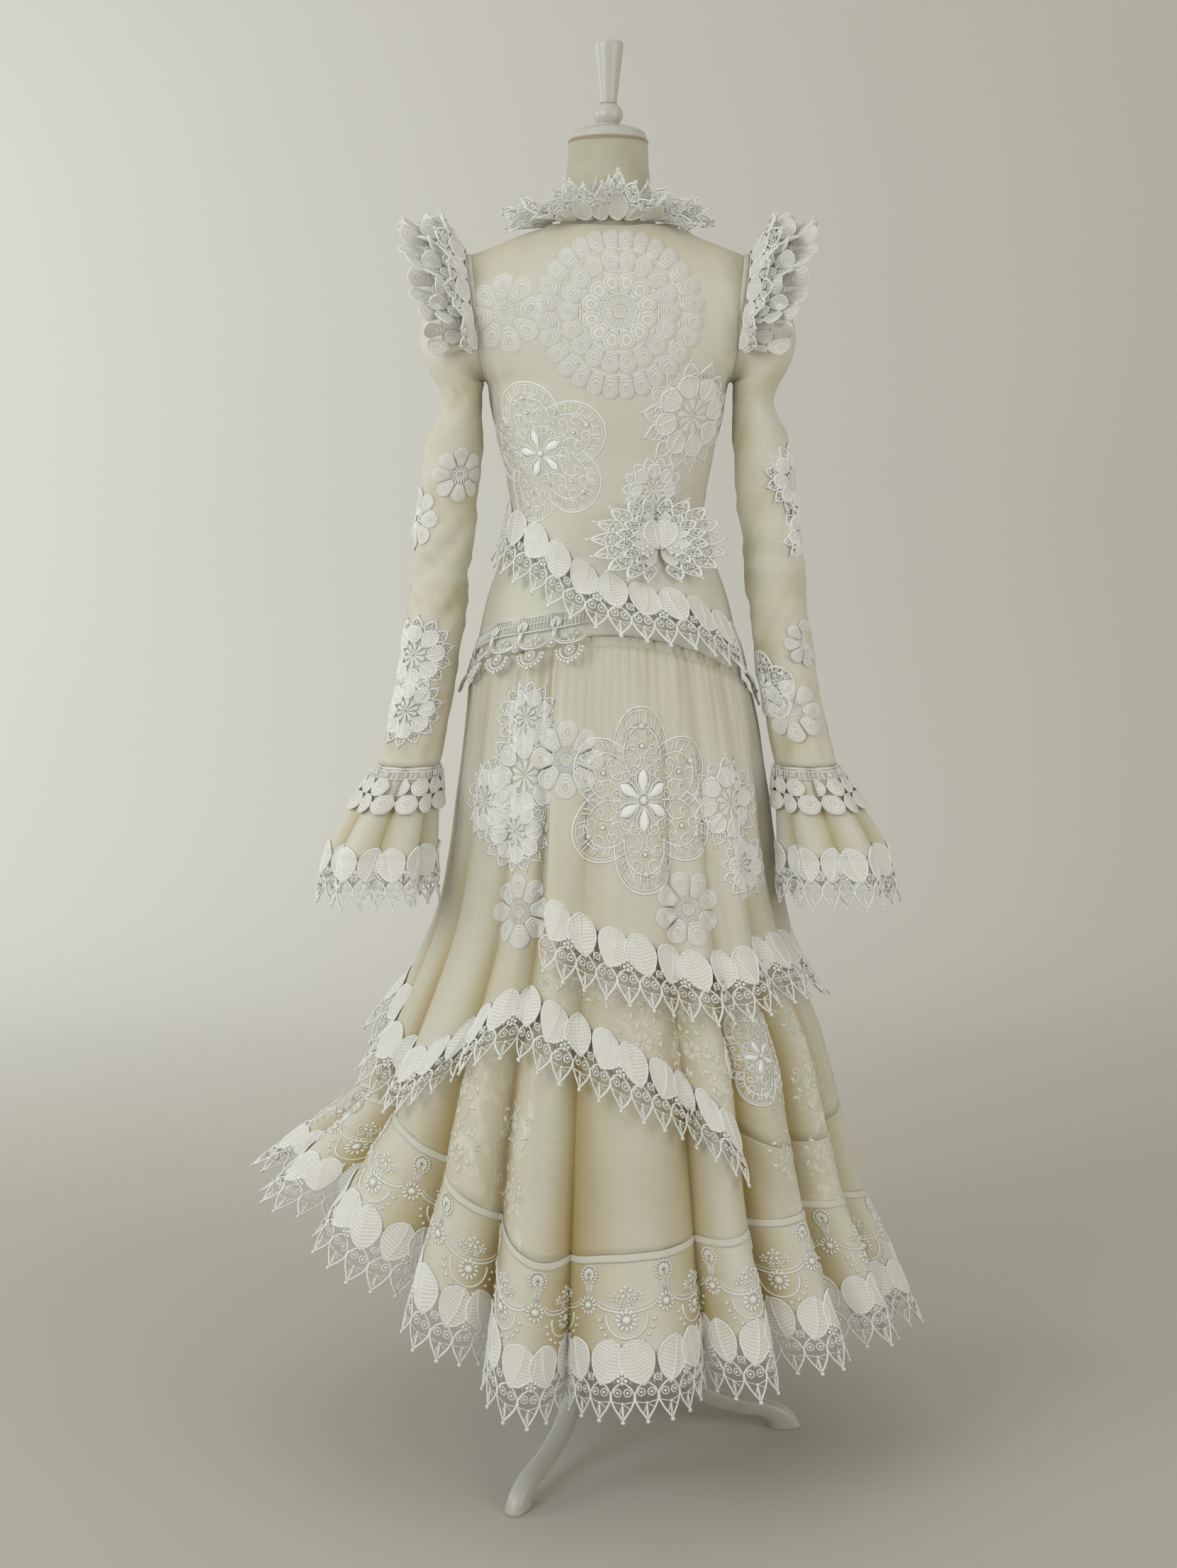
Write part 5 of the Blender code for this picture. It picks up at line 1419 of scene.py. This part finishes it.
# Lace trims
def laceTrim(name, row, turns, long, replaces, pitch=0.084, unit=leafUnit, level=0.4, raised=0.0):
    # Lace along an edge: as many whole repeats as come nearest to the pitch. row(turn, down) is the line
    # of points a distance down from the edge, and the repeats share out its length at the level.
    fine = np.linspace(turns[0], turns[1], 1600)
    run = runAlong(row(fine, np.full(1600, long * level)))
    count = max(1, round(run[-1] / pitch))
    wide = run[-1] / count
    repeats = moved(alongEdge(unit(wide, long + raised), count, wide), q=raised)
    return lacePiece(name, onto(lambda p, q: row(np.interp(p, run, fine), -q), repeats), replaces)


def hemRow(turn, down):
    # The flounce's own surface beyond the cloth's edge, a little further out
    return flouncePoint(turn, flounce["long"] + 0.0009 + down, flounce["laceOut"])


hemLaceBack = laceTrim("hemLaceBack", hemRow, (-75, 98), flounce["laceLong"], ["hem_lace_back"], raised=0.010)
hemLaceFront = laceTrim("hemLaceFront", hemRow, (98.4, 284.6), flounce["laceLong"], ["hem_lace_front"],
                        raised=0.010)

strips = {
    "hipLace": {
        "node": "hip_lace", "parent": trunkPoint,
        "place": (-96, -72, -54, -34, -15, 2, 20, 37, 53, 75, 98),
        "height": (1.236, 1.226, 1.215, 1.196, 1.166, 1.147, 1.134, 1.126, 1.107, 1.082, 1.040),
        "long": 0.060, "lean": 0.022, "sideLean": 0.25, "seat": 0.0040, "lift": 0.0041, "wave": 0.007,
        "waves": 6.5, "raised": 0.019},
    "hipScallopLace": {
        "node": "hip_scallop_lace", "parent": trunkPoint,
        "place": (-98, -75, -58, -37, -21, -7), "height": (1.050, 1.070, 1.086, 1.096, 1.104, 1.112),
        "long": 0.052, "lean": 0.012, "sideLean": 0.40, "seat": 0.0024, "lift": 0.0040, "wave": 0.004,
        "waves": 3.5, "raised": 0.012, "unit": scallopUnit, "pitch": 0.052},
    "overskirtLace": {
        "node": "overskirt_lace",
        "parent": lambda turn, height, out: skirtPoint(turn, height, over["liftBottom"] + out),
        "place": (-20.5, -5, 11, 23, 37, 52, 80, 103.5),
        "height": (0.766, 0.736, 0.717, 0.698, 0.691, 0.699, 0.689, 0.660),
        "long": 0.070, "lean": 0.016, "sideLean": 1.0, "seat": 0.0034, "lift": 0.0042, "wave": 0.006,
        "waves": 6, "raised": 0.019},
    "skirtLace": {
        "node": "skirt_lace", "parent": skirtPoint,
        "place": (-105, -90, -70, -52, -38, -30, -22, -12, 5, 22, 32),
        "height": (0.655, 0.620, 0.575, 0.566, 0.619, 0.646, 0.652, 0.630, 0.595, 0.541, 0.492),
        "long": 0.068, "lean": 0.016, "sideLean": 1.0, "seat": 0.0040, "lift": 0.0048, "wave": 0.006,
        "waves": 8, "raised": 0.019},
}


tips = {"seat": 0.0014, "long": 0.012}


def stripRow(strip):
    # A strip hangs from its edge and leans out in waves: the distance out grows with the way down, and
    # the leaf tips above the edge lie back on the cloth
    start, end = strip["place"][0], strip["place"][-1]

    def row(turn, down):
        # The points at each turn, a distance down from the edge
        beside = np.sin(np.radians(turn)) ** 2
        lean = strip["lean"] * (1 + (strip["sideLean"] - 1) * beside)
        phase = math.tau * strip["waves"] * (turn - start) / (end - start)
        wave = strip["wave"] * (0.5 - 0.5 * np.cos(phase))
        share = np.maximum(down / strip["long"], 0)
        out = strip["seat"] + (strip["lift"] - strip["seat"]) * np.clip(share * 8, 0, 1)
        out = out + share * (lean + wave * lean / strip["lean"])
        out = out - (strip["seat"] - tips["seat"]) * np.clip(-down / tips["long"], 0, 1)
        top = smooth(strip["place"], strip["height"], turn)
        return strip["parent"](turn, top - down * np.sqrt(1 - (lean / strip["long"]) ** 2), out)
    return row


stripPieces = {name: laceTrim(name, stripRow(strip), (strip["place"][0], strip["place"][-1]), strip["long"],
                              [strip["node"]], strip.get("pitch", 0.084), strip.get("unit", leafUnit),
                              raised=strip["raised"])
               for name, strip in strips.items()}
print("trims made")


# Embroidered festoons on the flounce
def flounceLaid(p, q):
    # The flounce's face: p metres round it and q metres up from its seam
    return flouncePoint(np.interp(p, festoonRun, festoonTurns), -q, skirt["cloth"] / 2 + 0.0001)


festoonTurns = np.linspace(-180, 180, 4000)
festoonRun = runAlong(flouncePoint(festoonTurns, np.full(4000, 0.045)))
festoonCount = round(festoonRun[-1] / 0.098)
festoonWide = festoonRun[-1] / festoonCount
festoonRow = alongEdge(festoonUnit(festoonWide, flounce["long"]), festoonCount, festoonWide)
festoons = lacePiece("flounceFestoons", onto(flounceLaid, festoonRow))


# Arms
def roundCord(path, radius):
    # A closed tube along a ring of points, each section square to the ring
    sides = 8
    tangent = unitOf(np.roll(path, -1, 0) - np.roll(path, 1, 0))
    away = path - path.mean(axis=0)
    away = unitOf(away - (away * tangent).sum(axis=1, keepdims=True) * tangent)
    other = np.cross(tangent, away)
    angle = np.arange(sides) * math.tau / sides
    section = away[:, None] * np.cos(angle)[:, None] + other[:, None] * np.sin(angle)[:, None]
    at = path[:, None] + radius * section
    count = len(path)
    i, k = np.meshgrid(np.arange(count), np.arange(sides), indexing="ij")
    j, m = (i + 1) % count, (k + 1) % sides
    quads = np.stack([i * sides + k, j * sides + k, j * sides + m, i * sides + m], axis=-1).reshape(-1, 4)
    uv = np.stack([np.tile(np.arange(sides), count) * 0.001,
                   np.repeat(np.arange(count), sides) * 0.003], axis=1)
    return {"at": at.reshape(-1, 3), "quads": quads, "tris": noTris, "uv": uv,
            "fold": np.full(count * sides, 0.12)}


def sleeveShell(side):
    # Rings of the sleeve's surface from the armhole to the wrist, with painted shade on the half that faces
    # the body and in its drag lines, and a cord over the armhole's seam
    turns = np.arange(arm["sides"]) * 360 / arm["sides"] * side
    downs = np.linspace(0, armLong, arm["rows"])[:, None]
    angle = np.radians(turns)
    drag = ripple(downs * 46 + angle * 1.4, angle * 2.0, side) * 0.5 + 0.5
    shade = 0.04 + 0.34 * np.clip(-np.cos(angle), 0, 1) ** 1.5 + 0.30 * drag**2
    ring = np.arange(96) * 3.75 * side
    seam = sleevePoint(side, ring, np.full(96, -0.0008), 0.0006) - np.array([side * 0.0026, 0, 0])
    return joined([shell(sleevePoint(side, turns, downs), arm["cloth"], shade, True),
                   roundCord(seam, arm["cord"])])


def cuffShell(side):
    # The cuff's cloth from the wrist to its edge, with painted shade of a deeper gold in its folds, more of
    # it lower down
    turns = np.arange(180) * 2.0
    heights = np.linspace(cuff["height"][0], cuff["clothEnd"] + 0.0003, 16)[:, None]
    shade = 0.55 * cuffFold(turns * side) * np.clip((0.93 - heights) / 0.06, 0, 1) + 0.08
    return shell(cuffPoint(side, turns, heights), cuff["cloth"], shade, True)


def cuffLaceRow(side):
    # Level with the cloth below its edge, and over its face above it
    return lambda turn, down: cuffPoint(side, turn, cuff["clothEnd"] - 0.0003 - down,
                                        cuff["laceOut"] * np.clip(-down / 0.002, 0, 1))


def frillRow(side):
    # Over the wrist's seam, leaning out with the way down
    return lambda turn, down: cuffPoint(side, turn, cuff["height"][0] - 0.001 - down,
                                        cuff["frillOut"] + cuff["frillLean"] * down)


ruffleSpan = 118.0
petalTrim = {"pitch": 0.048, "unit": petalUnit, "level": 0.92}
ruffles = {
    "petalRuffle": {"out": 0.88, "round": 0.46, "start": 0.0022, "long": 0.092, "taper": 0.34, "wave": 0.009,
                    "waves": 7, "span": ruffleSpan, "trim": petalTrim},
    "leafRuffle": {"out": 0.52, "round": 0.86, "start": 0.0054, "long": 0.062, "taper": 0.60, "wave": 0.007,
                   "waves": 7, "span": ruffleSpan, "trim": {"pitch": 0.062}},
    "upperRuffle": {"out": 0.74, "round": 0.68, "start": 0.0040, "long": 0.070, "taper": 0.30, "wave": 0.011,
                    "waves": 9, "span": 96, "trim": petalTrim},
}
ruffleSpan = 118.0


def ruffleRow(side, ruffle):
    # A ruffle stands out from the armhole seam: straight out and outwards round it, with waves that
    # grow towards its edge. The turn is in degrees round the armhole from its top.
    x, y, z, lean, tall, deep = armTable[0]
    centre = np.array([x + 0.0013, y, z])
    up = np.array([math.sin(lean), 0.0, math.cos(lean)])
    front = np.array([0.0, 1.0, 0.0])
    outX = np.array([1.0, 0.0, 0.0])
    first = ruffle["start"]

    def row(turn, down):
        # The points at each turn, a distance down from the seam
        turn, down = paired(turn, down)
        own = (turn * side)[..., None]
        angle = np.radians(own)
        ray = up * np.cos(angle) + front * np.sin(angle)
        seam = centre + up * (tall + first) * np.cos(angle) + front * (deep + first) * np.sin(angle)
        forward = unitOf(outX * ruffle["out"] + ray * ruffle["round"])
        across = unitOf(ray * ruffle["out"] - outX * ruffle["round"])
        share = (down / ruffle["long"])[..., None]
        long = ruffle["long"] * (1 - ruffle["taper"] * (np.abs(own) / ruffleSpan) ** 2)
        wave = ruffle["wave"] * np.sin(np.radians(own) * 180 / ruffleSpan * ruffle["waves"])
        at = seam + forward * long * share + across * wave * np.abs(share) ** 1.3
        return at * np.array([side, 1.0, 1.0])
    return row


def ruffleLace(side, kind, name, nodes):
    # A ruffle's lace, laid on its own row
    ruffle = ruffles[kind]
    return laceTrim(kind + name, ruffleRow(side, ruffle), (-ruffle["span"], ruffle["span"]), ruffle["long"],
                    nodes, **ruffle["trim"])


def ruffleBacking(side):
    # A frill of voile behind the petal lace
    turns = np.linspace(-ruffleSpan, ruffleSpan, 150)[:: side]
    downs = np.linspace(0.0, 0.060, 10)[:, None]
    grid = ruffleRow(side, ruffles["petalRuffle"])(turns * side, downs)
    # Painted shade: darker bands round the frill, standing in for the shade between its waves
    return shell(grid, 0.0010, 0.25 + 0.25 * np.cos(np.radians(turns) * 13))


for side, name in ((1, "Right"), (-1, "Left")):
    low = name.lower()
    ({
        "sleeve": clothPiece(f"sleeve{name}", sleeveShell(side), [f"sleeve_{low}"]),
        "cuff": clothPiece(f"cuff{name}", cuffShell(side), [f"cuff_{low}"]),
        "lace": laceTrim(f"cuffLace{name}", cuffLaceRow(side), (30, 390), cuff["laceLong"],
                         [f"cuff_lace_{low}_outer", f"cuff_lace_{low}_inner"], pitch=0.070, raised=0.017),
        "frill": laceTrim(f"cuffFrill{name}", frillRow(side), (0, 360), cuff["frillLong"],
                          [f"cuff_frill_{low}"], pitch=0.052, unit=petalUnit),
        "petalRuffle": ruffleLace(side, "petalRuffle", name, [f"petal_ruffle_{low}"]),
        "backing": clothPiece(f"ruffleBacking{name}", ruffleBacking(side)),
        "leafRuffle": ruffleLace(side, "leafRuffle", name, [f"leaf_ruffle_{low}"]),
        "upperRuffle": ruffleLace(side, "upperRuffle", name, []),
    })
print("arms made")

collar = {"seat": 0.0022, "above": 0.0028, "curl": 0.006,
          "place": (-180, -120, -90, -60, -25, 0, 25, 60, 90, 120),
          "rise": (0.35, 0.16, 0.02, -0.10, 0.40, 0.70, 0.40, -0.10, 0.02, 0.16),
          "long": 0.064, "wave": 0.015, "waves": 11}


def collarRow(turn, down, stand=0.0, phase=0.0):
    # The collar stands up at the nape and lies out over the shoulders, waving more towards its edge
    turn, down = paired(turn, down)
    angle = np.radians(turn)
    deep = np.where(np.cos(angle) > 0, body["nape"][0], body["throat"][0])
    height = np.where(np.cos(angle) > 0, body["nape"][1], body["throat"][1])
    rise = np.minimum(smoothRound(collar["place"], collar["rise"], turn) + stand, 0.97)[..., None]
    neckX, neckZ = body["neckPoint"]
    seam = np.stack([(neckX + collar["seat"]) * np.sin(angle), -(deep + collar["seat"]) * np.cos(angle),
                     neckZ + (height - neckZ) * np.cos(angle) ** 2 + collar["above"]], axis=-1)
    ray = np.stack([np.sin(angle), -np.cos(angle), np.zeros_like(angle)], axis=-1)
    forward = ray * np.sqrt(1 - rise**2) + upward * rise
    across = upward * np.sqrt(1 - rise**2) - ray * rise
    share = (down / collar["long"])[..., None]
    wave = collar["wave"] * np.sin(angle * collar["waves"] + phase)[..., None]
    curl = wave * np.abs(share) ** 1.2 + collar["curl"] * share
    return seam + forward * down[..., None] + across * curl


collarPiece = laceTrim("collar", collarRow, (-179, 179), collar["long"], ["collar_left", "collar_right"],
                       pitch=0.070, level=0.7)
collarUpper = laceTrim("collarUpper", lambda turn, down: collarRow(turn, down, 0.34, 1.3), (-100, 100),
                       0.052, [], pitch=0.058, level=0.7)

# Motifs sewn on the cloth: what each is, its size, its direction and height, and its tilt
motifs = {
    "back": (("daisy", 0.049, -51.0, 1.472, 8), ("doily", 0.104, 4.6, 1.472, 0),
             ("scallop", 0.088, -38.0, 1.305, 12), ("leafRound", 0.068, 45.5, 1.350, 10),
             ("leafRound", 0.040, 26.0, 1.262, 40), ("blossom", 0.024, 63.0, 1.205, 0)),
    "front": (("daisy", 0.058, 8.0, 1.440, 0), ("daisy", 0.040, -48.0, 1.400, 20),
              ("leafRound", 0.056, 44.0, 1.330, 0), ("scallop", 0.062, -20.0, 1.290, 30),
              ("daisy", 0.034, 40.0, 1.470, 0)),
    "skirt": (("leafRound", 0.062, -33.0, 0.915, 0), ("leafRound", 0.046, -34.0, 0.985, 20),
              ("daisy", 0.046, -31.0, 0.752, 10), ("leafRound", 0.050, -52.0, 0.880, 0),
              ("scallop", 0.062, 42.0, 0.575, 20), ("leafRound", 0.050, -36.0, 0.845, 50),
              ("daisy", 0.050, 140.0, 0.860, 0), ("daisy", 0.044, 165.0, 0.760, 0),
              ("scrolls", 0.080, 200.0, 0.900, 0), ("daisy", 0.044, 240.0, 0.760, 0)),
    "over": (("scrolls", 0.098, 12.0, 0.890, 0), ("leafRound", 0.058, 46.0, 0.880, 0),
             ("daisy", 0.047, 26.0, 0.758, 14), ("daisy", 0.048, -15.0, 0.938, 0),
             ("leafRound", 0.044, 52.0, 0.800, 30)),
}
drawn = {"daisy": daisy, "doily": doily, "leafRound": leafRound, "blossom": blossom,
         "scallop": lambda radius: scallopFlower(radius, 5),
         "scrolls": lambda radius: scallopFlower(radius, 6, 1.16)}


def bodiceLaid(side):
    # Directions run from the back's middle, or from the front's, and grow to the right as each is seen
    return lambda turn, height, out: bodicePoint(side, np.clip(-side * turn / 90, -1, 1), height, out)


grounds = {"back": bodiceLaid(-1), "front": bodiceLaid(1), "skirt": skirtPoint, "over": overPoint}
for part, listed in motifs.items():
    shapes = [onto(patch(grounds[part], turn, height), moved(drawn[kind](radius), turn=tilt))
              for kind, radius, turn, height, tilt in listed]
    lacePiece(f"{part}Motifs", joined(shapes))

# On the sleeves: what each is, its size, the way down the sleeve and the turn round it, 0 outermost
sleeveMotifs = {
    1: (("leafRound", 0.045, 0.21, -30), ("leafRound", 0.040, 0.28, -18), ("daisy", 0.030, 0.415, -48),
        ("daisy", 0.040, 0.50, -100), ("scallop", 0.044, 0.47, -150), ("daisy", 0.036, 0.30, 70)),
    -1: (("daisy", 0.034, 0.205, -112), ("daisy", 0.040, 0.26, -20), ("leafRound", 0.050, 0.43, -60),
         ("leafRound", 0.046, 0.50, -66), ("daisy", 0.038, 0.30, 70)),
}


def sleeveLaid(side, turn, down):
    # The sleeve round one place, in metres across it and up it. On the left arm the turns run the other
    # way round, so p is taken with the side's sign.
    turns = turn + np.linspace(-170, 170, 341)
    run = runAlong(sleevePoint(side, turns, np.full(341, down)))
    middle = run[170]
    return lambda p, q: sleevePoint(side, np.interp(middle + side * p, run, turns), down - q, arm["motifOut"])


for side, name in ((1, "Right"), (-1, "Left")):
    shapes = [onto(sleeveLaid(side, turn, down), drawn[kind](radius))
              for kind, radius, down, turn in sleeveMotifs[side]]
    lacePiece(f"sleeveMotifs{name}", joined(shapes))

netPlaces = {
    "netLower": [(-36, 0.535), (-22, 0.500), (-34, 0.475), (-22, 0.430), (47, 0.530), (59, 0.520),
                 (46, 0.455), (60, 0.440)],
    "netUpper": [(-14, 0.690), (-2, 0.670), (11, 0.655), (23, 0.640), (8, 0.600), (22, 0.585),
                 (63, 0.610), (66, 0.540), (30, 0.560)],
}
netPieces = {name: lacePiece(name, netFigures(skirtPoint, places), material=netThread)
             for name, places in netPlaces.items()}
print("motifs made")

butterfly = {"turn": 27.0, "height": 1.205, "slope": 0.55, "out": 0.0034, "radius": 0.105}


def butterflySurface(p, q):
    # Two wings that rise from a line down the bodice: the distance out grows with the way across
    turn = butterfly["turn"] + np.degrees(p / butterfly["radius"])
    return trunkPoint(turn, butterfly["height"] + q, butterfly["out"] + butterfly["slope"] * np.abs(p))


def wing(hand):
    # One wing: leaf lace bent round the knot's middle, with a smaller layer over it, fans outwards
    made = []
    for long, wide, count, span, lift in ((0.050, 0.052, 3, 168, 0.0), (0.034, 0.042, 2, 120, 0.0030)):
        strip = alongEdge(leafUnit(wide, long), count, wide)
        p, q, h = strip["at"].T
        angle = np.radians(90 - hand * (88 - span / 2 + span * p / (wide * count)))
        reach = 0.007 - q * (0.86 + 0.30 * np.sin(p / (wide * count) * math.pi))
        bent = np.stack([reach * np.cos(angle), reach * np.sin(angle) - 0.004, h + lift], axis=1)
        quads, tris = strip["quads"], strip["tris"]
        if hand < 0:
            quads, tris = quads[:, ::-1], tris[:, ::-1]
        made.append({**strip, "at": bent, "quads": quads, "tris": tris})
    made.append(moved(leaf(0.036, 0.024, 0.0016, 10), hand * 0.003, -0.016, turn=-10 * hand, lift=0.0042))
    made.append(moved(blossom(0.0080), hand * 0.016, -0.018, lift=0.0046))
    return joined(made)


wings = joined([wing(-1), wing(1)])
butterflyPiece = lacePiece("waistButterfly", onto(butterflySurface, wings), ["waist_butterfly"])


# Floor and backdrop in one curved sheet
room = {"near": -4.5, "bend": 1.9, "radius": 1.2, "far": 3.1, "high": 4.8, "side": 4.5}


def backdrop():
    # A level floor, a quarter circle and an upright wall, clear from behind
    angle = np.radians(np.linspace(0, 90, 20))
    radius = room["radius"]
    floor = np.stack([np.linspace(room["near"], room["bend"], 24), np.zeros(24)], axis=1)
    curve = np.stack([room["bend"] + radius * np.sin(angle), radius - radius * np.cos(angle)], axis=1)
    upright = np.stack([np.full(12, room["far"]), np.linspace(radius, room["high"], 12)], axis=1)
    run = np.concatenate([floor, curve[1:], upright[1:]])
    across = np.linspace(-room["side"], room["side"], 40)
    rows = len(run)
    at = np.stack([np.broadcast_to(across, (rows, 40)), np.broadcast_to(run[:, :1], (rows, 40)),
                   np.broadcast_to(run[:, 1:], (rows, 40))], axis=-1).reshape(-1, 3)
    quads = gridFaces(rows, 40, acrossFirst=True)
    mesh = bpy.data.meshes.new("backdrop")
    mesh.from_pydata(at.tolist(), [], quads.tolist())
    mesh.polygons.foreach_set("use_smooth", np.ones(len(mesh.polygons), bool))
    made = bpy.data.objects.new("backdrop", mesh)
    bpy.context.scene.collection.objects.link(made)
    made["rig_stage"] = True
    look, surface, start = newMaterial("paper", {"Roughness": 0.95, "Specular IOR Level": 0.1})
    place = start.node("ShaderNodeTexCoord", out=3)
    x, y = parts(start, place)[:2]
    mottle = noiseAt(start, place, 0.7, 2.0)
    # Painted light: the floor is darker than the wall, the wall lighter to the left and the floor a little
    # lighter to the right, for the way the lamps' light falls; the mottle is the paper's own uneven tone
    share = ((x * 0.16 + 0.42) + (mottle - 0.5) * 0.3).within()
    wall = mixed(share, (0.80, 0.805, 0.78), (0.66, 0.65, 0.60))
    near = mixed(share, (0.49, 0.48, 0.42), (0.56, 0.55, 0.50))
    feed(start, surface, "Base Color", mixed(y.between(0.4, 2.6), near, wall))
    # The sheet is clear from behind, so that the dress shows from every side
    behind = start.node("ShaderNodeNewGeometry", out=6)
    clear = start.node("ShaderNodeBsdfTransparent")
    solid = Sum(start.tree, surface.outputs[0])
    both = start.node("ShaderNodeMixShader", {}, {0: behind, 1: solid, 2: clear})
    start.tree.links.new(both.socket, look.node_tree.nodes["Material Output"].inputs[0])
    mesh.materials.append(look)


backdrop()

lights = {
    "key": {"at": (-1.9, -2.0, 2.15), "to": (0.0, 0.0, 1.5), "size": 1.5, "power": 31,
            "tint": (0.95, 0.99, 1.0)},
    "fill": {"at": (2.2, -1.8, 1.75), "to": (0.0, 0.0, 1.4), "size": 1.8, "power": 22,
             "tint": (0.98, 0.99, 0.97)},
    "top": {"at": (-0.6, -0.4, 3.6), "to": (0.0, 0.0, 0.8), "size": 2.0, "power": 7,
            "tint": (0.97, 1.0, 1.0)},
    "wall": {"at": (-3.0, 0.4, 1.8), "to": (-0.9, 3.0, 1.5), "size": 1.6, "power": 36,
             "tint": (0.96, 0.99, 1.0)},
}
for name, light in lights.items():
    made = bpy.data.objects.new(name, bpy.data.lights.new(name, "AREA"))
    made.data.energy, made.data.color, made.data.size = light["power"], light["tint"], light["size"]
    made.location = Vector(light["at"])
    made.rotation_euler = (Vector(light["to"]) - Vector(light["at"])).to_track_quat("-Z", "Y").to_euler()
    bpy.context.scene.collection.objects.link(made)
world = bpy.data.worlds.new("studio")
world.use_nodes = True
background = world.node_tree.nodes["Background"]
background.inputs[0].default_value = (1.0, 0.94, 0.81, 1)
background.inputs[1].default_value = 0.45
bpy.context.scene.world = world
bpy.context.scene.view_settings.view_transform = "Standard"

added = [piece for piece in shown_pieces() if "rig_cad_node" not in piece]
print("added triangles:", sum(len(face.vertices) - 2 for piece in added for face in piece.data.polygons))
